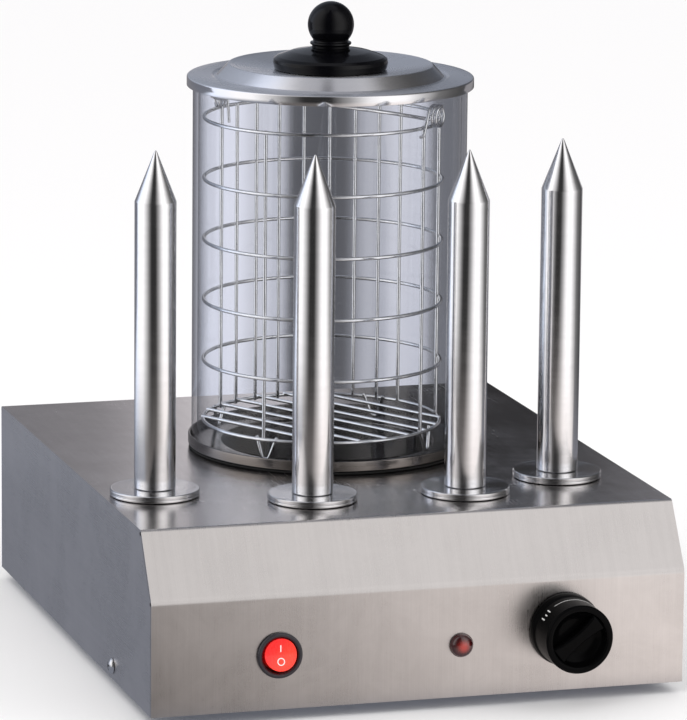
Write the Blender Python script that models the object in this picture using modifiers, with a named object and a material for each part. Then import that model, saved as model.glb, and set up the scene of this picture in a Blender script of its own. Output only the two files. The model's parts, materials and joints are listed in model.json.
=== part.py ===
"""Counter-top hot dog steamer with a glass steaming cylinder and four heated bun spikes.

A folded stainless housing carries a round seat over a water pan.  A glass cylinder
stands in the seat, a wire basket stands inside the glass, and a pressed lid with a
ball knob closes it.  Four upright heated spikes stand on the deck.  A rocker switch,
a pilot lamp and a thermostat knob are on the front face.

Metres, +Z up, front face towards -Y.  The origin is on the table, under the middle
of the object's bounding box.  Dimensions are in millimetres in the housing's own frame:
front face at y = 0, underside of the housing at z = 0, x = 0 on the centre line.
"""

import math

import bmesh
import bpy
from mathutils import Matrix, Vector

# ---------------------------------------------------------------- driving dimensions (mm)
MM = 0.001              # metres in a millimetre
SHEET = 1.2             # sheet thickness
GAP = 0.3               # clearance between pieces that rest on each other

FOOT_H = 6.0            # rubber foot below the housing
WIDTH = 285.0           # housing, side to side
DEPTH = 332.5           # housing, front face to rear edge
DECK_Z = 92.5           # deck above the housing's underside
FRONT_H = 59.5          # vertical part of the front
SLOPE_RUN = 21.2        # how far back the slope reaches

REAR_FACE = DEPTH + 2 * GAP + SHEET     # where pieces seat on the outside of the rear panel
REAR_HEAD_H = 2.2       # rear screw heads
DIAL_FRONT = 25.5       # the thermostat knob's face in front of the housing
Y_MID = (REAR_FACE + REAR_HEAD_H - DIAL_FRONT) / 2

SCREW_HOLE_R = 2.4
SCREW_R = 2.0
SCREW_LENGTH = 9.0
SIDE_SCREW_Z = 7.2
SIDE_SCREWS = {"left_front": (-1, 79.0), "right_front": (1, 79.0)}      # side, y
REAR_SCREWS = {         # x, z
    "lower_left": (-135.5, 20), "lower_right": (135.5, 20),
    "upper_left": (-135.5, 80), "upper_right": (135.5, 80),
}
FEET = {                # x, y
    "front_left": (-97.5, 45), "front_right": (97.5, 45),
    "rear_left": (-97.5, 287.5), "rear_right": (97.5, 287.5),
}

GLASS_X, GLASS_Y = 5.5, 190.0   # axis of the steaming cylinder
GLASS_R = 73.6
GLASS_WALL = 3.0
PAN_R = 58.0
PAN_FLOOR = 38.0
PAN_RIM_Z = 94.0        # top of the pan's lip and of the gasket round it
SEAT_R = 75.4
SEAT_TOP = 99.9
SEAT_FLOOR = 95.8
GLASS_Z0, GLASS_Z1 = SEAT_FLOOR + GAP, 294.2

LID_R = 76.9
LID_Z = 295.4           # top of the lid's rim
LID_SKIRT = 5.4
LID_SHEET = 0.8
PLATEAU_Z = 298.6       # flat seat in the middle of the lid, at the bottom of its dish
PLATEAU_R = 31.5
DISH_R = 52.4
CREST_Z = 301.6
CREST_R = 54.4
BEVEL_R = 60.5
KNOB_BASE_R = 30.85
KNOB_BASE_TOP = 310.1
BALL_R = 12.4
BALL_Z = 322.6
BALL_NECK_R = 9.6
LID_SCREW_R = 2.4
LID_SCREW_HOLE_R = 2.8

BASKET_X, BASKET_Y = 2.0, 190.0
BASKET_R = 64.0
BASKET_Z0 = 107.7       # bottom ring
RING_PITCH = 33.0
RINGS = 6
WIRE_R = 1.0
DIVISIONS = 28          # equal parts of a ring that the uprights stand on
PIVOT_DEG = -45.4       # direction of the handle's pivot line, from +X
EYE_Z = 276.9           # height of the handle's pivots
EYE_R = 2.7             # eyelet, to the middle of its wire
FLOOR_DEG = -60.0       # direction of the floor wires, from +X
FLOOR_PITCH = 15.0
FLOOR_WIRES = 7
LEG_Z = 97.25           # lower end of the legs
BAIL_R = 60.0
BAIL_TILT = 12.6        # the handle's rest angle above the horizontal

SPIKE_H = 181.0         # tip above the deck
SPIKE_R = 10.8
SPIKE_CONE = 26.4
SPIKE_NECK_R = 7.9      # outside of the tube through the deck
SPIKE_BORE_R = 6.4
FLANGE_R = 23.4
FLANGE_T = 3.6
SPIKES = {              # x, y
    "a": (-115.3, 97.3), "b": (-39.0, 66.2),
    "c": (42.9, 63.1), "d": (101.9, 87.0),
}

SWITCH_X, SWITCH_Z = -75.3, 28.5
SWITCH_TILT = 8.0       # the paddle leans this much either way
SWITCH_PIVOT_Y = 2.5
PADDLE_TOP = 5.8        # in front of the pivot
VALLEY_DEPTH = 0.9
LAMP_X, LAMP_Z = 21.5, 27.5
DIAL_X, DIAL_Z = 77.1, 32.8
DIAL_R = 18.0
DIAL_GRIP_DEG = 38.0    # the grip's lean from the horizontal
THERMOSTAT_HALF = 16.0  # half the thermostat body's width and height

INLET_X, INLET_Z = -95.0, 32.0


def world(x, y, z):
    """A point of the housing's frame, in mm, as a world position in metres."""
    return Vector((x * MM, (y - Y_MID) * MM, (z + FOOT_H) * MM))


GLASS_AXIS = world(GLASS_X, GLASS_Y, 0)
SWITCH_AT = world(SWITCH_X, 0, SWITCH_Z)
ROCKER_AT = world(SWITCH_X, SWITCH_PIVOT_Y, SWITCH_Z)
LAMP_AT = world(LAMP_X, 0, LAMP_Z)
DIAL_AT = world(DIAL_X, 0, DIAL_Z)

UPRIGHT = Matrix.Identity(4)
FORWARD = Matrix.Rotation(math.radians(90), 4, "X")     # local +Z points out of the front
BACKWARD = Matrix.Rotation(math.radians(-90), 4, "X")   # local +Z points out of the back
LEFTWARD = Matrix.Rotation(math.radians(-90), 4, "Y")   # local +Z points to -X
RIGHTWARD = Matrix.Rotation(math.radians(90), 4, "Y")   # local +Z points to +X

# planes of flat outlines: (y, z) extruded along x, and (x, z) extruded along y
PLANE_YZ = Matrix(((0, 0, 1, 0), (1, 0, 0, 0), (0, 1, 0, 0), (0, 0, 0, 1)))
PLANE_XZ = Matrix(((1, 0, 0, 0), (0, 0, -1, 0), (0, 1, 0, 0), (0, 0, 0, 1)))

FINISH = {
    "steel": dict(colour=(0.60, 0.58, 0.57), roughness=0.34, metallic=1.0),
    "polished": dict(colour=(0.78, 0.78, 0.80), roughness=0.12, metallic=1.0),
    "zinc": dict(colour=(0.62, 0.63, 0.66), roughness=0.40, metallic=1.0),
    "aluminium": dict(colour=(0.72, 0.72, 0.73), roughness=0.35, metallic=1.0),
    "copper": dict(colour=(0.72, 0.42, 0.3), roughness=0.35, metallic=1.0),
    "rubber": dict(colour=(0.03, 0.03, 0.03), roughness=0.8),
    "black": dict(colour=(0.012, 0.012, 0.014), roughness=0.18),
    "matte_black": dict(colour=(0.03, 0.03, 0.032), roughness=0.5),
    "red": dict(colour=(0.75, 0.01, 0.01), roughness=0.3),
    "dark_red": dict(colour=(0.2, 0.01, 0.01), roughness=0.2),
    "ceramic": dict(colour=(0.8, 0.79, 0.75), roughness=0.6),
    "wire_red": dict(colour=(0.5, 0.02, 0.02), roughness=0.5),
    "wire_blue": dict(colour=(0.02, 0.08, 0.5), roughness=0.5),
    "glass": dict(colour=(0.9, 0.95, 0.95), roughness=0.03, alpha=0.35, transmission=1.0),
}


# ---------------------------------------------------------------- scene
def new_collection(name, hide_render=False):
    made = bpy.data.collections.new(name)
    bpy.context.scene.collection.children.link(made)
    made.hide_render = hide_render
    return made


for old in list(bpy.data.objects):
    bpy.data.objects.remove(old, do_unlink=True)

PARTS = new_collection("hot_dog_steamer")
CUTTERS = new_collection("cutters", hide_render=True)
BASKET_WIRES = new_collection("basket_wires", hide_render=True)


def material(name, colour, roughness, metallic=0.0, alpha=1.0, transmission=0.0):
    made = bpy.data.materials.new(name)
    made.use_nodes = True
    inputs = made.node_tree.nodes["Principled BSDF"].inputs
    inputs["Base Color"].default_value = (*colour, 1.0)
    inputs["Roughness"].default_value = roughness
    inputs["Metallic"].default_value = metallic
    inputs["Alpha"].default_value = alpha
    inputs["Transmission Weight"].default_value = transmission
    made.diffuse_color = (*colour, alpha)
    return made


def place(name, data, kind=None, at=None):
    """Adds a piece with a material of its own; without a finish it is a hidden helper."""
    obj = bpy.data.objects.new(name, data)
    if at is not None:
        obj.location = at
    if kind:
        PARTS.objects.link(obj)
        data.materials.append(material(name, **FINISH[kind]))
    else:
        CUTTERS.objects.link(obj)
        obj.hide_render = True
        obj.display_type = "WIRE"
    return obj


# ---------------------------------------------------------------- shapes
def turned(name, profile, at, kind=None, steps=32, closed=False, turn=UPRIGHT):
    """Turns (radius, height) points in mm, run outward over the top and down the outer side."""
    mesh = bpy.data.meshes.new(name)
    points = [(r * MM, 0.0, h * MM) for r, h in profile]
    edges = [(i, i + 1) for i in range(len(points) - 1)]
    if closed:
        edges.append((len(points) - 1, 0))
    mesh.from_pydata(points, edges, [])
    obj = place(name, mesh, kind, at)
    obj.rotation_euler = turn.to_euler()
    lathe = obj.modifiers.new("turn", "SCREW")
    lathe.steps = lathe.render_steps = steps
    lathe.use_merge_vertices = True
    lathe.merge_threshold = 1e-6
    lathe.use_smooth_shade = True
    return obj


def bore(name, radius, length, steps, at, turn=UPRIGHT):
    """A round cutter centred on a point."""
    half = length / 2
    return turned(name, [(0, half), (radius, half), (radius, -half), (0, -half)],
                  at, steps=steps, turn=turn)


def box(name, low, high, kind=None, open_top=False):
    """A box between two corners in mm; its origin is its middle."""
    low, high = world(*low), world(*high)
    bm = bmesh.new()
    bmesh.ops.create_cube(bm, size=1.0)
    bmesh.ops.scale(bm, vec=high - low, verts=bm.verts)
    if open_top:
        top = [face for face in bm.faces if face.normal.z > 0.9]
        bmesh.ops.delete(bm, geom=top, context="FACES")
    mesh = bpy.data.meshes.new(name)
    bm.to_mesh(mesh)
    bm.free()
    return place(name, mesh, kind, (low + high) / 2)


def real_mesh(obj, name, kind=None):
    """Turns a curve object into a mesh object in the same place, with its caps welded."""
    bpy.context.view_layer.update()
    graph = bpy.context.evaluated_depsgraph_get()
    mesh = bpy.data.meshes.new_from_object(obj.evaluated_get(graph))
    bm = bmesh.new()
    bm.from_mesh(mesh)
    bmesh.ops.remove_doubles(bm, verts=bm.verts, dist=1e-6)
    bmesh.ops.recalc_face_normals(bm, faces=bm.faces)
    bm.to_mesh(mesh)
    bm.free()
    matrix = obj.matrix_world.copy()
    bpy.data.objects.remove(obj, do_unlink=True)
    made = place(name, mesh, kind)
    made.matrix_world = matrix
    return made


def plate(name, outline, half, kind=None, at=(0, 0, 0), plane=PLANE_YZ):
    """A flat outline in mm, extruded half its thickness each way."""
    curve = bpy.data.curves.new(name, "CURVE")
    curve.dimensions = "2D"
    curve.fill_mode = "BOTH"
    curve.extrude = half * MM
    line = curve.splines.new("POLY")
    line.points.add(len(outline) - 1)
    for point, (u, v) in zip(line.points, outline):
        point.co = (u * MM, v * MM, 0.0, 1.0)
    line.use_cyclic_u = True
    obj = place(name + "_outline", curve)
    obj.matrix_world = Matrix.Translation(world(*at)) @ plane
    return real_mesh(obj, name, kind)


def wire(name, points, radius, kind=None, resolution=1, scales=None, at=Vector((0, 0, 0))):
    """A wire along world points, with its origin at a point; scales multiply its radius."""
    curve = bpy.data.curves.new(name, "CURVE")
    curve.dimensions = "3D"
    curve.fill_mode = "FULL"
    curve.bevel_depth = radius * MM
    curve.bevel_resolution = resolution
    curve.use_fill_caps = True
    curve.twist_mode = "MINIMUM"
    line = curve.splines.new("POLY")
    line.points.add(len(points) - 1)
    for i, (point, co) in enumerate(zip(line.points, points)):
        point.co = (*(co - at), 1.0)
        if scales:
            point.radius = scales[i]
    line.use_smooth = True
    return place(name, curve, kind, at)


def boolean(obj, others, operation):
    for other in others:
        mod = obj.modifiers.new(operation.lower() + "_" + other.name, "BOOLEAN")
        mod.operation = operation
        mod.solver = "EXACT"
        mod.object = other


def cut(obj, *others):
    boolean(obj, others, "DIFFERENCE")


def join(obj, *others):
    boolean(obj, others, "UNION")


def pivot(name, at):
    empty = bpy.data.objects.new(name, None)
    empty.empty_display_size = 0.01
    empty.location = at
    PARTS.objects.link(empty)
    return empty


def hang(parent, *pieces):
    """Parents pieces without moving them."""
    bpy.context.view_layer.update()
    for piece in pieces:
        piece.parent = parent
        piece.matrix_parent_inverse = parent.matrix_world.inverted()


# ---------------------------------------------------------------- housing
def side_outline(inset, low):
    """The housing's side profile moved inwards: front, slope, deck, rear, down to low."""
    run, rise = SLOPE_RUN, DECK_Z - FRONT_H
    length = math.hypot(run, rise)
    nx, nz = rise / length * inset, -run / length * inset      # a point of the slope, moved in
    at_front = (inset, FRONT_H + nz + (inset - nx) * rise / run)
    at_deck = (nx + (DECK_Z - inset - FRONT_H - nz) * run / rise, DECK_Z - inset)
    return [(inset, low), at_front, at_deck,
            (DEPTH - inset, DECK_Z - inset), (DEPTH - inset, low)]


def cut_side_screw_holes(piece, prefix, inset):
    for key, (side, y) in SIDE_SCREWS.items():
        at = world(side * (WIDTH / 2 - inset), y, SIDE_SCREW_Z)
        cut(piece, bore(prefix + key, SCREW_HOLE_R, 8, 12, at, LEFTWARD))


def cut_rear_screw_holes(piece, prefix, length):
    for key, (x, z) in REAR_SCREWS.items():
        cut(piece, bore(prefix + key, SCREW_HOLE_R, length, 12, world(x, DEPTH, z), FORWARD))


def cut_seams(shell):
    """An open seam and bend reliefs where each side wall meets the front sheet and slope."""
    seam = 0.5                              # width of the slit
    inward, outward = SHEET + 0.4, 1.0      # reach of the slit each way from the side face
    relief_r, relief_length = 1.1, 3.2
    relief_back = 0.9                       # relief axis behind the fold
    top_drop = 0.6                          # slit's end below the deck sheet
    lean = math.atan2(SLOPE_RUN, DECK_Z - FRONT_H)
    low_y, low_z = side_outline(SHEET, 0.0)[1]
    top_y, top_z = side_outline(SHEET, 0.0)[2]
    # one slit that runs up behind the front sheet and on behind the slope
    slit = [
        (SHEET, -2), (SHEET, low_z), (top_y, top_z - top_drop),
        (top_y + seam / math.cos(lean), top_z - top_drop),
        (SHEET + seam, low_z - seam * math.tan(lean / 2)), (SHEET + seam, -2),
    ]
    for side, tag in ((-1, "left"), (1, "right")):
        x = side * (WIDTH / 2 + (outward - inward) / 2)
        cut(shell, plate("seam_" + tag, slit, (outward + inward) / 2, at=(x, 0, 0)))
        for level, y, z in (("low", SHEET, FRONT_H - 1.2), ("top", top_y, DECK_Z - 2.6)):
            cut(shell, bore("relief_%s_%s" % (level, tag), relief_r, relief_length, 12,
                            world(x, y + relief_back, z), LEFTWARD))


def build_shell():
    shell = plate("housing_shell", side_outline(0.0, 0.0), WIDTH / 2, "steel")
    cut(shell,
        plate("shell_inside", side_outline(SHEET, -5.0), WIDTH / 2 - SHEET),
        box("rear_window", (-130, DEPTH - 5, -5), (130, DEPTH + 5, 82)),
        bore("pan_hole", 66.0, 12, 36, world(GLASS_X, GLASS_Y, DECK_Z)))
    for key, (x, y) in SPIKES.items():
        cut(shell, bore("spike_hole_" + key, 8.6, 10, 14, world(x, y, DECK_Z)))
    cut(shell,
        bore("switch_hole", 10.35, 10, 24, SWITCH_AT, FORWARD),
        bore("lamp_hole", 5.3, 10, 20, LAMP_AT, FORWARD),
        bore("dial_hole", 5.1, 10, 20, DIAL_AT, FORWARD))
    cut_seams(shell)
    cut_side_screw_holes(shell, "side_screw_hole_", 0)
    cut_rear_screw_holes(shell, "rear_screw_hole_", 8)


def build_base():
    """An open-topped tray between the shell's walls, with foot, screw and vent holes."""
    inset = SHEET + GAP
    base = box("base_plate", (-WIDTH / 2 + inset, inset, GAP),
               (WIDTH / 2 - inset, DEPTH - inset, 14.0), "zinc", open_top=True)
    wall = base.modifiers.new("sheet", "SOLIDIFY")
    wall.thickness = SHEET * MM
    wall.offset = -1.0
    wall.use_even_offset = True
    for key, (x, y) in FEET.items():
        cut(base, bore("foot_hole_" + key, 4.0, 8, 14, world(x, y, 1)))
    cut_side_screw_holes(base, "base_screw_hole_", 2)
    vent_half_x, vent_half_y = 25, 3
    for row, y in enumerate((85, 100, 265, 280)):
        for column, x in enumerate((-55, 55)):
            cut(base, box("base_vent_%d%d" % (row, column),
                          (x - vent_half_x, y - vent_half_y, -3),
                          (x + vent_half_x, y + vent_half_y, 5)))


def build_rear_panel():
    louvres, lowest_z, pitch, half_height = 6, 28, 9.0, 1.6
    inlet_half_x, inlet_half_z = 14.6, 10.6
    near, far = DEPTH - 5, DEPTH + 6        # reach of the cutters through the panel
    panel = box("rear_panel", (-140, DEPTH + GAP, 3), (140, DEPTH + GAP + SHEET, 90), "steel")
    for row in range(louvres):
        z = lowest_z + row * pitch
        cut(panel, box("louvre_cut_%d" % row,
                       (15, near, z - half_height), (105, far, z + half_height)))
    cut(panel, box("inlet_cut",
                   (INLET_X - inlet_half_x, near, INLET_Z - inlet_half_z),
                   (INLET_X + inlet_half_x, far, INLET_Z + inlet_half_z)))
    cut_rear_screw_holes(panel, "panel_screw_hole_", 12)


def screw(name, at, turn, head_r, head_h):
    """A domed screw: head outside, shank inwards."""
    profile = [(0, head_h), (head_r * 0.7, head_h * 0.75), (head_r, 0),
               (SCREW_R, 0), (SCREW_R, -SCREW_LENGTH), (0, -SCREW_LENGTH)]
    turned(name, profile, at, "polished", 10, turn=turn)


def build_screws_and_feet():
    for key, (side, y) in SIDE_SCREWS.items():
        screw("side_screw_" + key, world(side * (WIDTH / 2 + GAP), y, SIDE_SCREW_Z),
              LEFTWARD if side < 0 else RIGHTWARD, head_r=4.25, head_h=2.3)
    for key, (x, z) in REAR_SCREWS.items():
        screw("rear_screw_" + key, world(x, REAR_FACE, z), BACKWARD,
              head_r=4.0, head_h=REAR_HEAD_H)
    # a foot with a neck through the base and a wider button above it
    foot = [(0, 4.2), (5.0, 4.2), (5.0, 1.8), (3.6, 1.8), (3.6, 0.0), (11.0, 0.0),
            (10.2, -FOOT_H), (0, -FOOT_H)]
    for key, (x, y) in FEET.items():
        turned("foot_" + key, foot, world(x, y, 0), "rubber", 14)


# ---------------------------------------------------------------- steam unit
def build_pan_and_seat():
    pan = [
        (0, PAN_FLOOR + 1), (PAN_R - 2.6, PAN_FLOOR + 1), (PAN_R - 1, PAN_FLOOR + 3),
        (PAN_R - 1, PAN_RIM_Z), (65.0, PAN_RIM_Z), (65.0, 93.1), (PAN_R, 93.1),
        (PAN_R, PAN_FLOOR + 2.6), (PAN_R - 2.2, PAN_FLOOR), (0, PAN_FLOOR),
    ]
    turned("water_pan", pan, GLASS_AXIS, "polished", 28)
    gasket = [(67.0, PAN_RIM_Z), (75.0, PAN_RIM_Z), (75.0, DECK_Z + GAP), (67.0, DECK_Z + GAP)]
    turned("seat_gasket", gasket, GLASS_AXIS, "rubber", 36, closed=True)
    ring = [(74.1, SEAT_TOP), (SEAT_R, SEAT_TOP), (SEAT_R, PAN_RIM_Z + GAP),
            (57.3, PAN_RIM_Z + GAP), (57.3, SEAT_FLOOR), (74.1, SEAT_FLOOR)]
    turned("seat_ring", ring, GLASS_AXIS, "polished", 36, closed=True)


def build_heater():
    plate_profile = [(0, 37.6), (50, 37.6), (52, 35.6), (52, 28.0), (0, 28.0)]
    heater = turned("heater_plate", plate_profile, GLASS_AXIS, "aluminium", 20)
    for side in (-1, 1):
        join(heater, turned("heater_stud_%d" % side, [(0, 30), (3, 30), (3, 18), (0, 18)],
                            world(GLASS_X + side * 15, GLASS_Y - 36, 0), steps=10))
    cutout = [(0, 27.6), (8, 27.6), (8, 24), (11, 24), (11, 22), (7, 22), (7, 18.5), (0, 18.5)]
    turned("thermal_cutout", cutout, world(GLASS_X, GLASS_Y + 32, 0), "ceramic", 12)
    # a strap runs under the heater and stands on the base; outline in x, z
    strap = [
        (-78, 1.8), (-62, 1.8), (-62, 25.6), (62, 25.6), (62, 1.8), (78, 1.8),
        (78, 3.8), (64, 3.8), (64, 27.6), (-64, 27.6), (-64, 3.8), (-78, 3.8),
    ]
    plate("pan_strap", strap, 12, "zinc", at=(GLASS_X, GLASS_Y, 0), plane=PLANE_XZ)


# ---------------------------------------------------------------- glass and lid
def build_glass():
    lift = pivot("glass_lift", world(GLASS_X, GLASS_Y, GLASS_Z0))
    inner_r = GLASS_R - GLASS_WALL
    wall = [(inner_r, GLASS_Z1), (GLASS_R, GLASS_Z1), (GLASS_R, GLASS_Z0), (inner_r, GLASS_Z0)]
    hang(lift, turned("glass_cylinder", wall, GLASS_AXIS, "glass", 36, closed=True))
    return lift


def lid_plate():
    """A crest rises inside the rim, and a shallow dish falls from it to a flat seat."""
    profile = [
        # upper side, from the screw hole out to the skirt
        (LID_SCREW_HOLE_R, PLATEAU_Z), (PLATEAU_R, PLATEAU_Z), (DISH_R, CREST_Z - 0.4),
        (CREST_R, CREST_Z), (BEVEL_R, LID_Z), (LID_R - 0.8, LID_Z), (LID_R, LID_Z - 0.8),
        (LID_R, LID_Z - LID_SKIRT),
        # under side, back in to the hole
        (LID_R - LID_SHEET, LID_Z - LID_SKIRT), (LID_R - LID_SHEET, LID_Z - LID_SHEET),
        (BEVEL_R - 0.5, LID_Z - LID_SHEET), (CREST_R - 0.3, CREST_Z - 0.95),
        (DISH_R + 0.1, CREST_Z - 1.25), (PLATEAU_R + 0.1, PLATEAU_Z - LID_SHEET),
        (LID_SCREW_HOLE_R, PLATEAU_Z - LID_SHEET),
    ]
    return turned("lid_plate", profile, GLASS_AXIS, "polished", 36, closed=True)


def lid_knob_base():
    profile = [
        (LID_SCREW_HOLE_R, KNOB_BASE_TOP), (11.0, 310.0), (21.0, 308.2), (29.4, 305.2),
        (KNOB_BASE_R, 303.8), (KNOB_BASE_R - 0.5, PLATEAU_Z + GAP),
        (LID_SCREW_HOLE_R, PLATEAU_Z + GAP),
    ]
    return turned("lid_knob_base", profile, GLASS_AXIS, "black", 28, closed=True)


def lid_knob_ball():
    """A ball on a collar, with a blind hole for the screw."""
    arcs = 6
    top_angle, low_angle = math.pi / 2, -math.acos(BALL_NECK_R / BALL_R)
    profile = []
    for i in range(arcs + 1):
        angle = top_angle + (low_angle - top_angle) * i / arcs
        radius = BALL_R * math.cos(angle) if i else 0.0
        profile.append((radius, BALL_Z + BALL_R * math.sin(angle)))
    bottom = KNOB_BASE_TOP + GAP
    profile += [
        (BALL_NECK_R, 313.4), (11.2, 313.3), (11.2, 311.5), (10.25, 311.5), (10.25, bottom),
        (LID_SCREW_HOLE_R, bottom), (LID_SCREW_HOLE_R, 320.0), (0.0, 321.5),
    ]
    return turned("lid_knob_ball", profile, GLASS_AXIS, "black", 18)


def lid_screw():
    head_top, head_low = PLATEAU_Z - 1.2, PLATEAU_Z - 3.6
    profile = [(0, 318.5), (LID_SCREW_R, 318.5), (LID_SCREW_R, head_top), (5.5, head_top),
               (5.5, head_low), (0, head_low)]
    return turned("lid_screw", profile, GLASS_AXIS, "polished", 12)


def build_lid(glass_lift):
    lift = pivot("lid_lift", world(GLASS_X, GLASS_Y, LID_Z))
    pieces = lid_plate(), lid_knob_base(), lid_knob_ball(), lid_screw()
    hang(glass_lift, lift)
    hang(lift, *pieces)


# ---------------------------------------------------------------- wire basket
EYE_AXIS = Vector((math.cos(math.radians(PIVOT_DEG)), math.sin(math.radians(PIVOT_DEG)), 0.0))


def basket_point(turn, z, radius=BASKET_R):
    """A point of the basket's wall: turn counts ring divisions from the pivot."""
    angle = math.radians(PIVOT_DEG + turn * 360.0 / DIVISIONS)
    return world(BASKET_X + radius * math.cos(angle), BASKET_Y + radius * math.sin(angle), z)


def basket_wire(obj):
    """Moves a helper into the collection that is welded into one basket."""
    CUTTERS.objects.unlink(obj)
    BASKET_WIRES.objects.link(obj)


def rod(name, start, end):
    """A straight four-sided wire of the basket."""
    bm = bmesh.new()
    bmesh.ops.create_cone(bm, cap_ends=True, segments=4, radius1=WIRE_R * MM,
                          radius2=WIRE_R * MM, depth=(end - start).length)
    mesh = bpy.data.meshes.new(name)
    bm.to_mesh(mesh)
    bm.free()
    obj = place(name, mesh)
    aim = (end - start).to_track_quat("Z", "X").to_matrix().to_4x4()
    obj.matrix_world = Matrix.Translation((start + end) / 2) @ aim
    basket_wire(obj)


def wire_section(centre_r, sides, count):
    """The first count corners of a many-sided wire section, clockwise from its outer side."""
    angles = [-math.tau * i / sides for i in range(count)]
    return [(centre_r + WIRE_R * math.cos(a), WIRE_R * math.sin(a)) for a in angles]


def wire_ring(name, z, kind=None):
    return turned(name, wire_section(BASKET_R, 4, 4), world(BASKET_X, BASKET_Y, z), kind,
                  DIVISIONS, closed=True)


def add_uprights():
    """Uprights at both pivots (0 and half way), close together round the back, and two more."""
    top_z = BASKET_Z0 + (RINGS - 1) * RING_PITCH
    inner_r = BASKET_R - 0.8
    for turn in (0, 3, *range(6, DIVISIONS // 2 + 1), 3 * DIVISIONS // 4):
        rod("basket_upright_%d" % turn, basket_point(turn, BASKET_Z0 - 0.7, inner_r),
            basket_point(turn, top_z + 0.6, inner_r))


def add_floor():
    """A row of parallel wires lying on the bottom ring."""
    direction = math.radians(FLOOR_DEG)
    along = Vector((math.cos(direction), math.sin(direction), 0.0))
    across = Vector((-along.y, along.x, 0.0))
    for i in range(FLOOR_WIRES):
        offset = (i - (FLOOR_WIRES - 1) / 2) * FLOOR_PITCH
        half = math.sqrt(BASKET_R ** 2 - offset ** 2) - 0.1
        middle = world(BASKET_X, BASKET_Y, BASKET_Z0 + 0.7) + across * offset * MM
        rod("basket_floor_%d" % i, middle - along * half * MM, middle + along * half * MM)


def add_eyelets():
    """Eyelets for the handle, half a hexagon in section."""
    aim = EYE_AXIS.to_track_quat("Z", "X").to_matrix()
    for tag, side in (("near", 1), ("far", -1)):
        centre = world(BASKET_X, BASKET_Y, EYE_Z) + EYE_AXIS * side * BASKET_R * MM
        basket_wire(turned("eyelet_" + tag, wire_section(EYE_R, 6, 4), centre, steps=8,
                           closed=True, turn=aim))


def add_legs():
    """Four V-shaped legs that hang from the bottom ring."""
    stations = [(-0.36, BASKET_Z0), (-0.12, LEG_Z), (0.12, LEG_Z), (0.36, BASKET_Z0)]  # turn, z
    for quarter in range(4):
        middle = DIVISIONS * quarter / 4 + 0.11
        name = "leg_%d" % quarter
        points = [basket_point(middle + turn, z) for turn, z in stations]
        basket_wire(real_mesh(wire(name + "_path", points, WIRE_R, resolution=0), name))


def build_basket():
    lift = pivot("basket_lift", world(BASKET_X, BASKET_Y, BASKET_Z0))
    basket = wire_ring("basket", BASKET_Z0, "polished")
    for level in range(1, RINGS):
        basket_wire(wire_ring("basket_ring_%d" % level, BASKET_Z0 + level * RING_PITCH))
    add_uprights()
    add_floor()
    add_eyelets()
    add_legs()
    weld = basket.modifiers.new("weld_wires", "BOOLEAN")
    weld.operation = "UNION"
    weld.solver = "EXACT"
    weld.operand_type = "COLLECTION"
    weld.collection = BASKET_WIRES
    hang(lift, basket)
    return lift


def build_handle(basket_lift):
    """A half hoop whose ends turn out through the eyelets."""
    hinge = pivot("handle_turn", world(BASKET_X, BASKET_Y, EYE_Z))
    tilt = math.radians(BAIL_TILT)
    level = Vector((EYE_AXIS.y, -EYE_AXIS.x, 0.0))      # towards the front left
    reach = level * math.cos(tilt) + Vector((0, 0, math.sin(tilt)))
    end, arcs = BASKET_R + 1.9, 14
    hoop = [EYE_AXIS * end * MM]
    for i in range(arcs + 1):
        angle = math.pi * i / arcs
        hoop.append((EYE_AXIS * math.cos(angle) + reach * math.sin(angle)) * BAIL_R * MM)
    hoop.append(EYE_AXIS * -end * MM)
    centre = hinge.location.copy()
    handle = wire("basket_handle", [point + centre for point in hoop], WIRE_R, "polished",
                  at=centre)
    hang(basket_lift, hinge)
    hang(hinge, handle)


# ---------------------------------------------------------------- bun spikes
def build_spikes():
    tip = DECK_Z + SPIKE_H
    flange_low = DECK_Z + GAP
    flange_top = flange_low + FLANGE_T
    seat = flange_top + GAP
    nut_top = DECK_Z - SHEET - GAP
    nut_low = nut_top - 8
    # cone and barrel outside, then the neck through the deck and the bore up the middle
    spike = [
        (0, tip), (1.4, tip - 0.8), (SPIKE_R, tip - SPIKE_CONE), (SPIKE_R, seat),
        (SPIKE_NECK_R, seat), (SPIKE_NECK_R, 72.0), (SPIKE_BORE_R, 72.0),
        (SPIKE_BORE_R, 238.0), (0, 241.0),
    ]
    flange = [(8.4, flange_top), (FLANGE_R - 1.0, flange_top), (FLANGE_R, flange_top - 1.0),
              (FLANGE_R, flange_low), (8.4, flange_low)]
    heater = [(0, 234), (6.0, 234), (6.0, 64), (2.5, 64), (2.5, 57), (0, 57)]
    hexagon = [(0, nut_top), (13.4, nut_top), (13.4, nut_low), (0, nut_low)]
    for key, (x, y) in SPIKES.items():
        axis = world(x, y, 0)
        turned("spike_" + key, spike, axis, "polished", 18)
        turned("spike_flange_" + key, flange, axis, "polished", 20, closed=True)
        turned("spike_heater_" + key, heater, axis, "zinc", 10)
        nut = turned("spike_nut_" + key, hexagon, axis, "zinc", 6)
        cut(nut, bore("nut_bore_" + key, 8.5, 30, 14, world(x, y, nut_top)))


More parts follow.
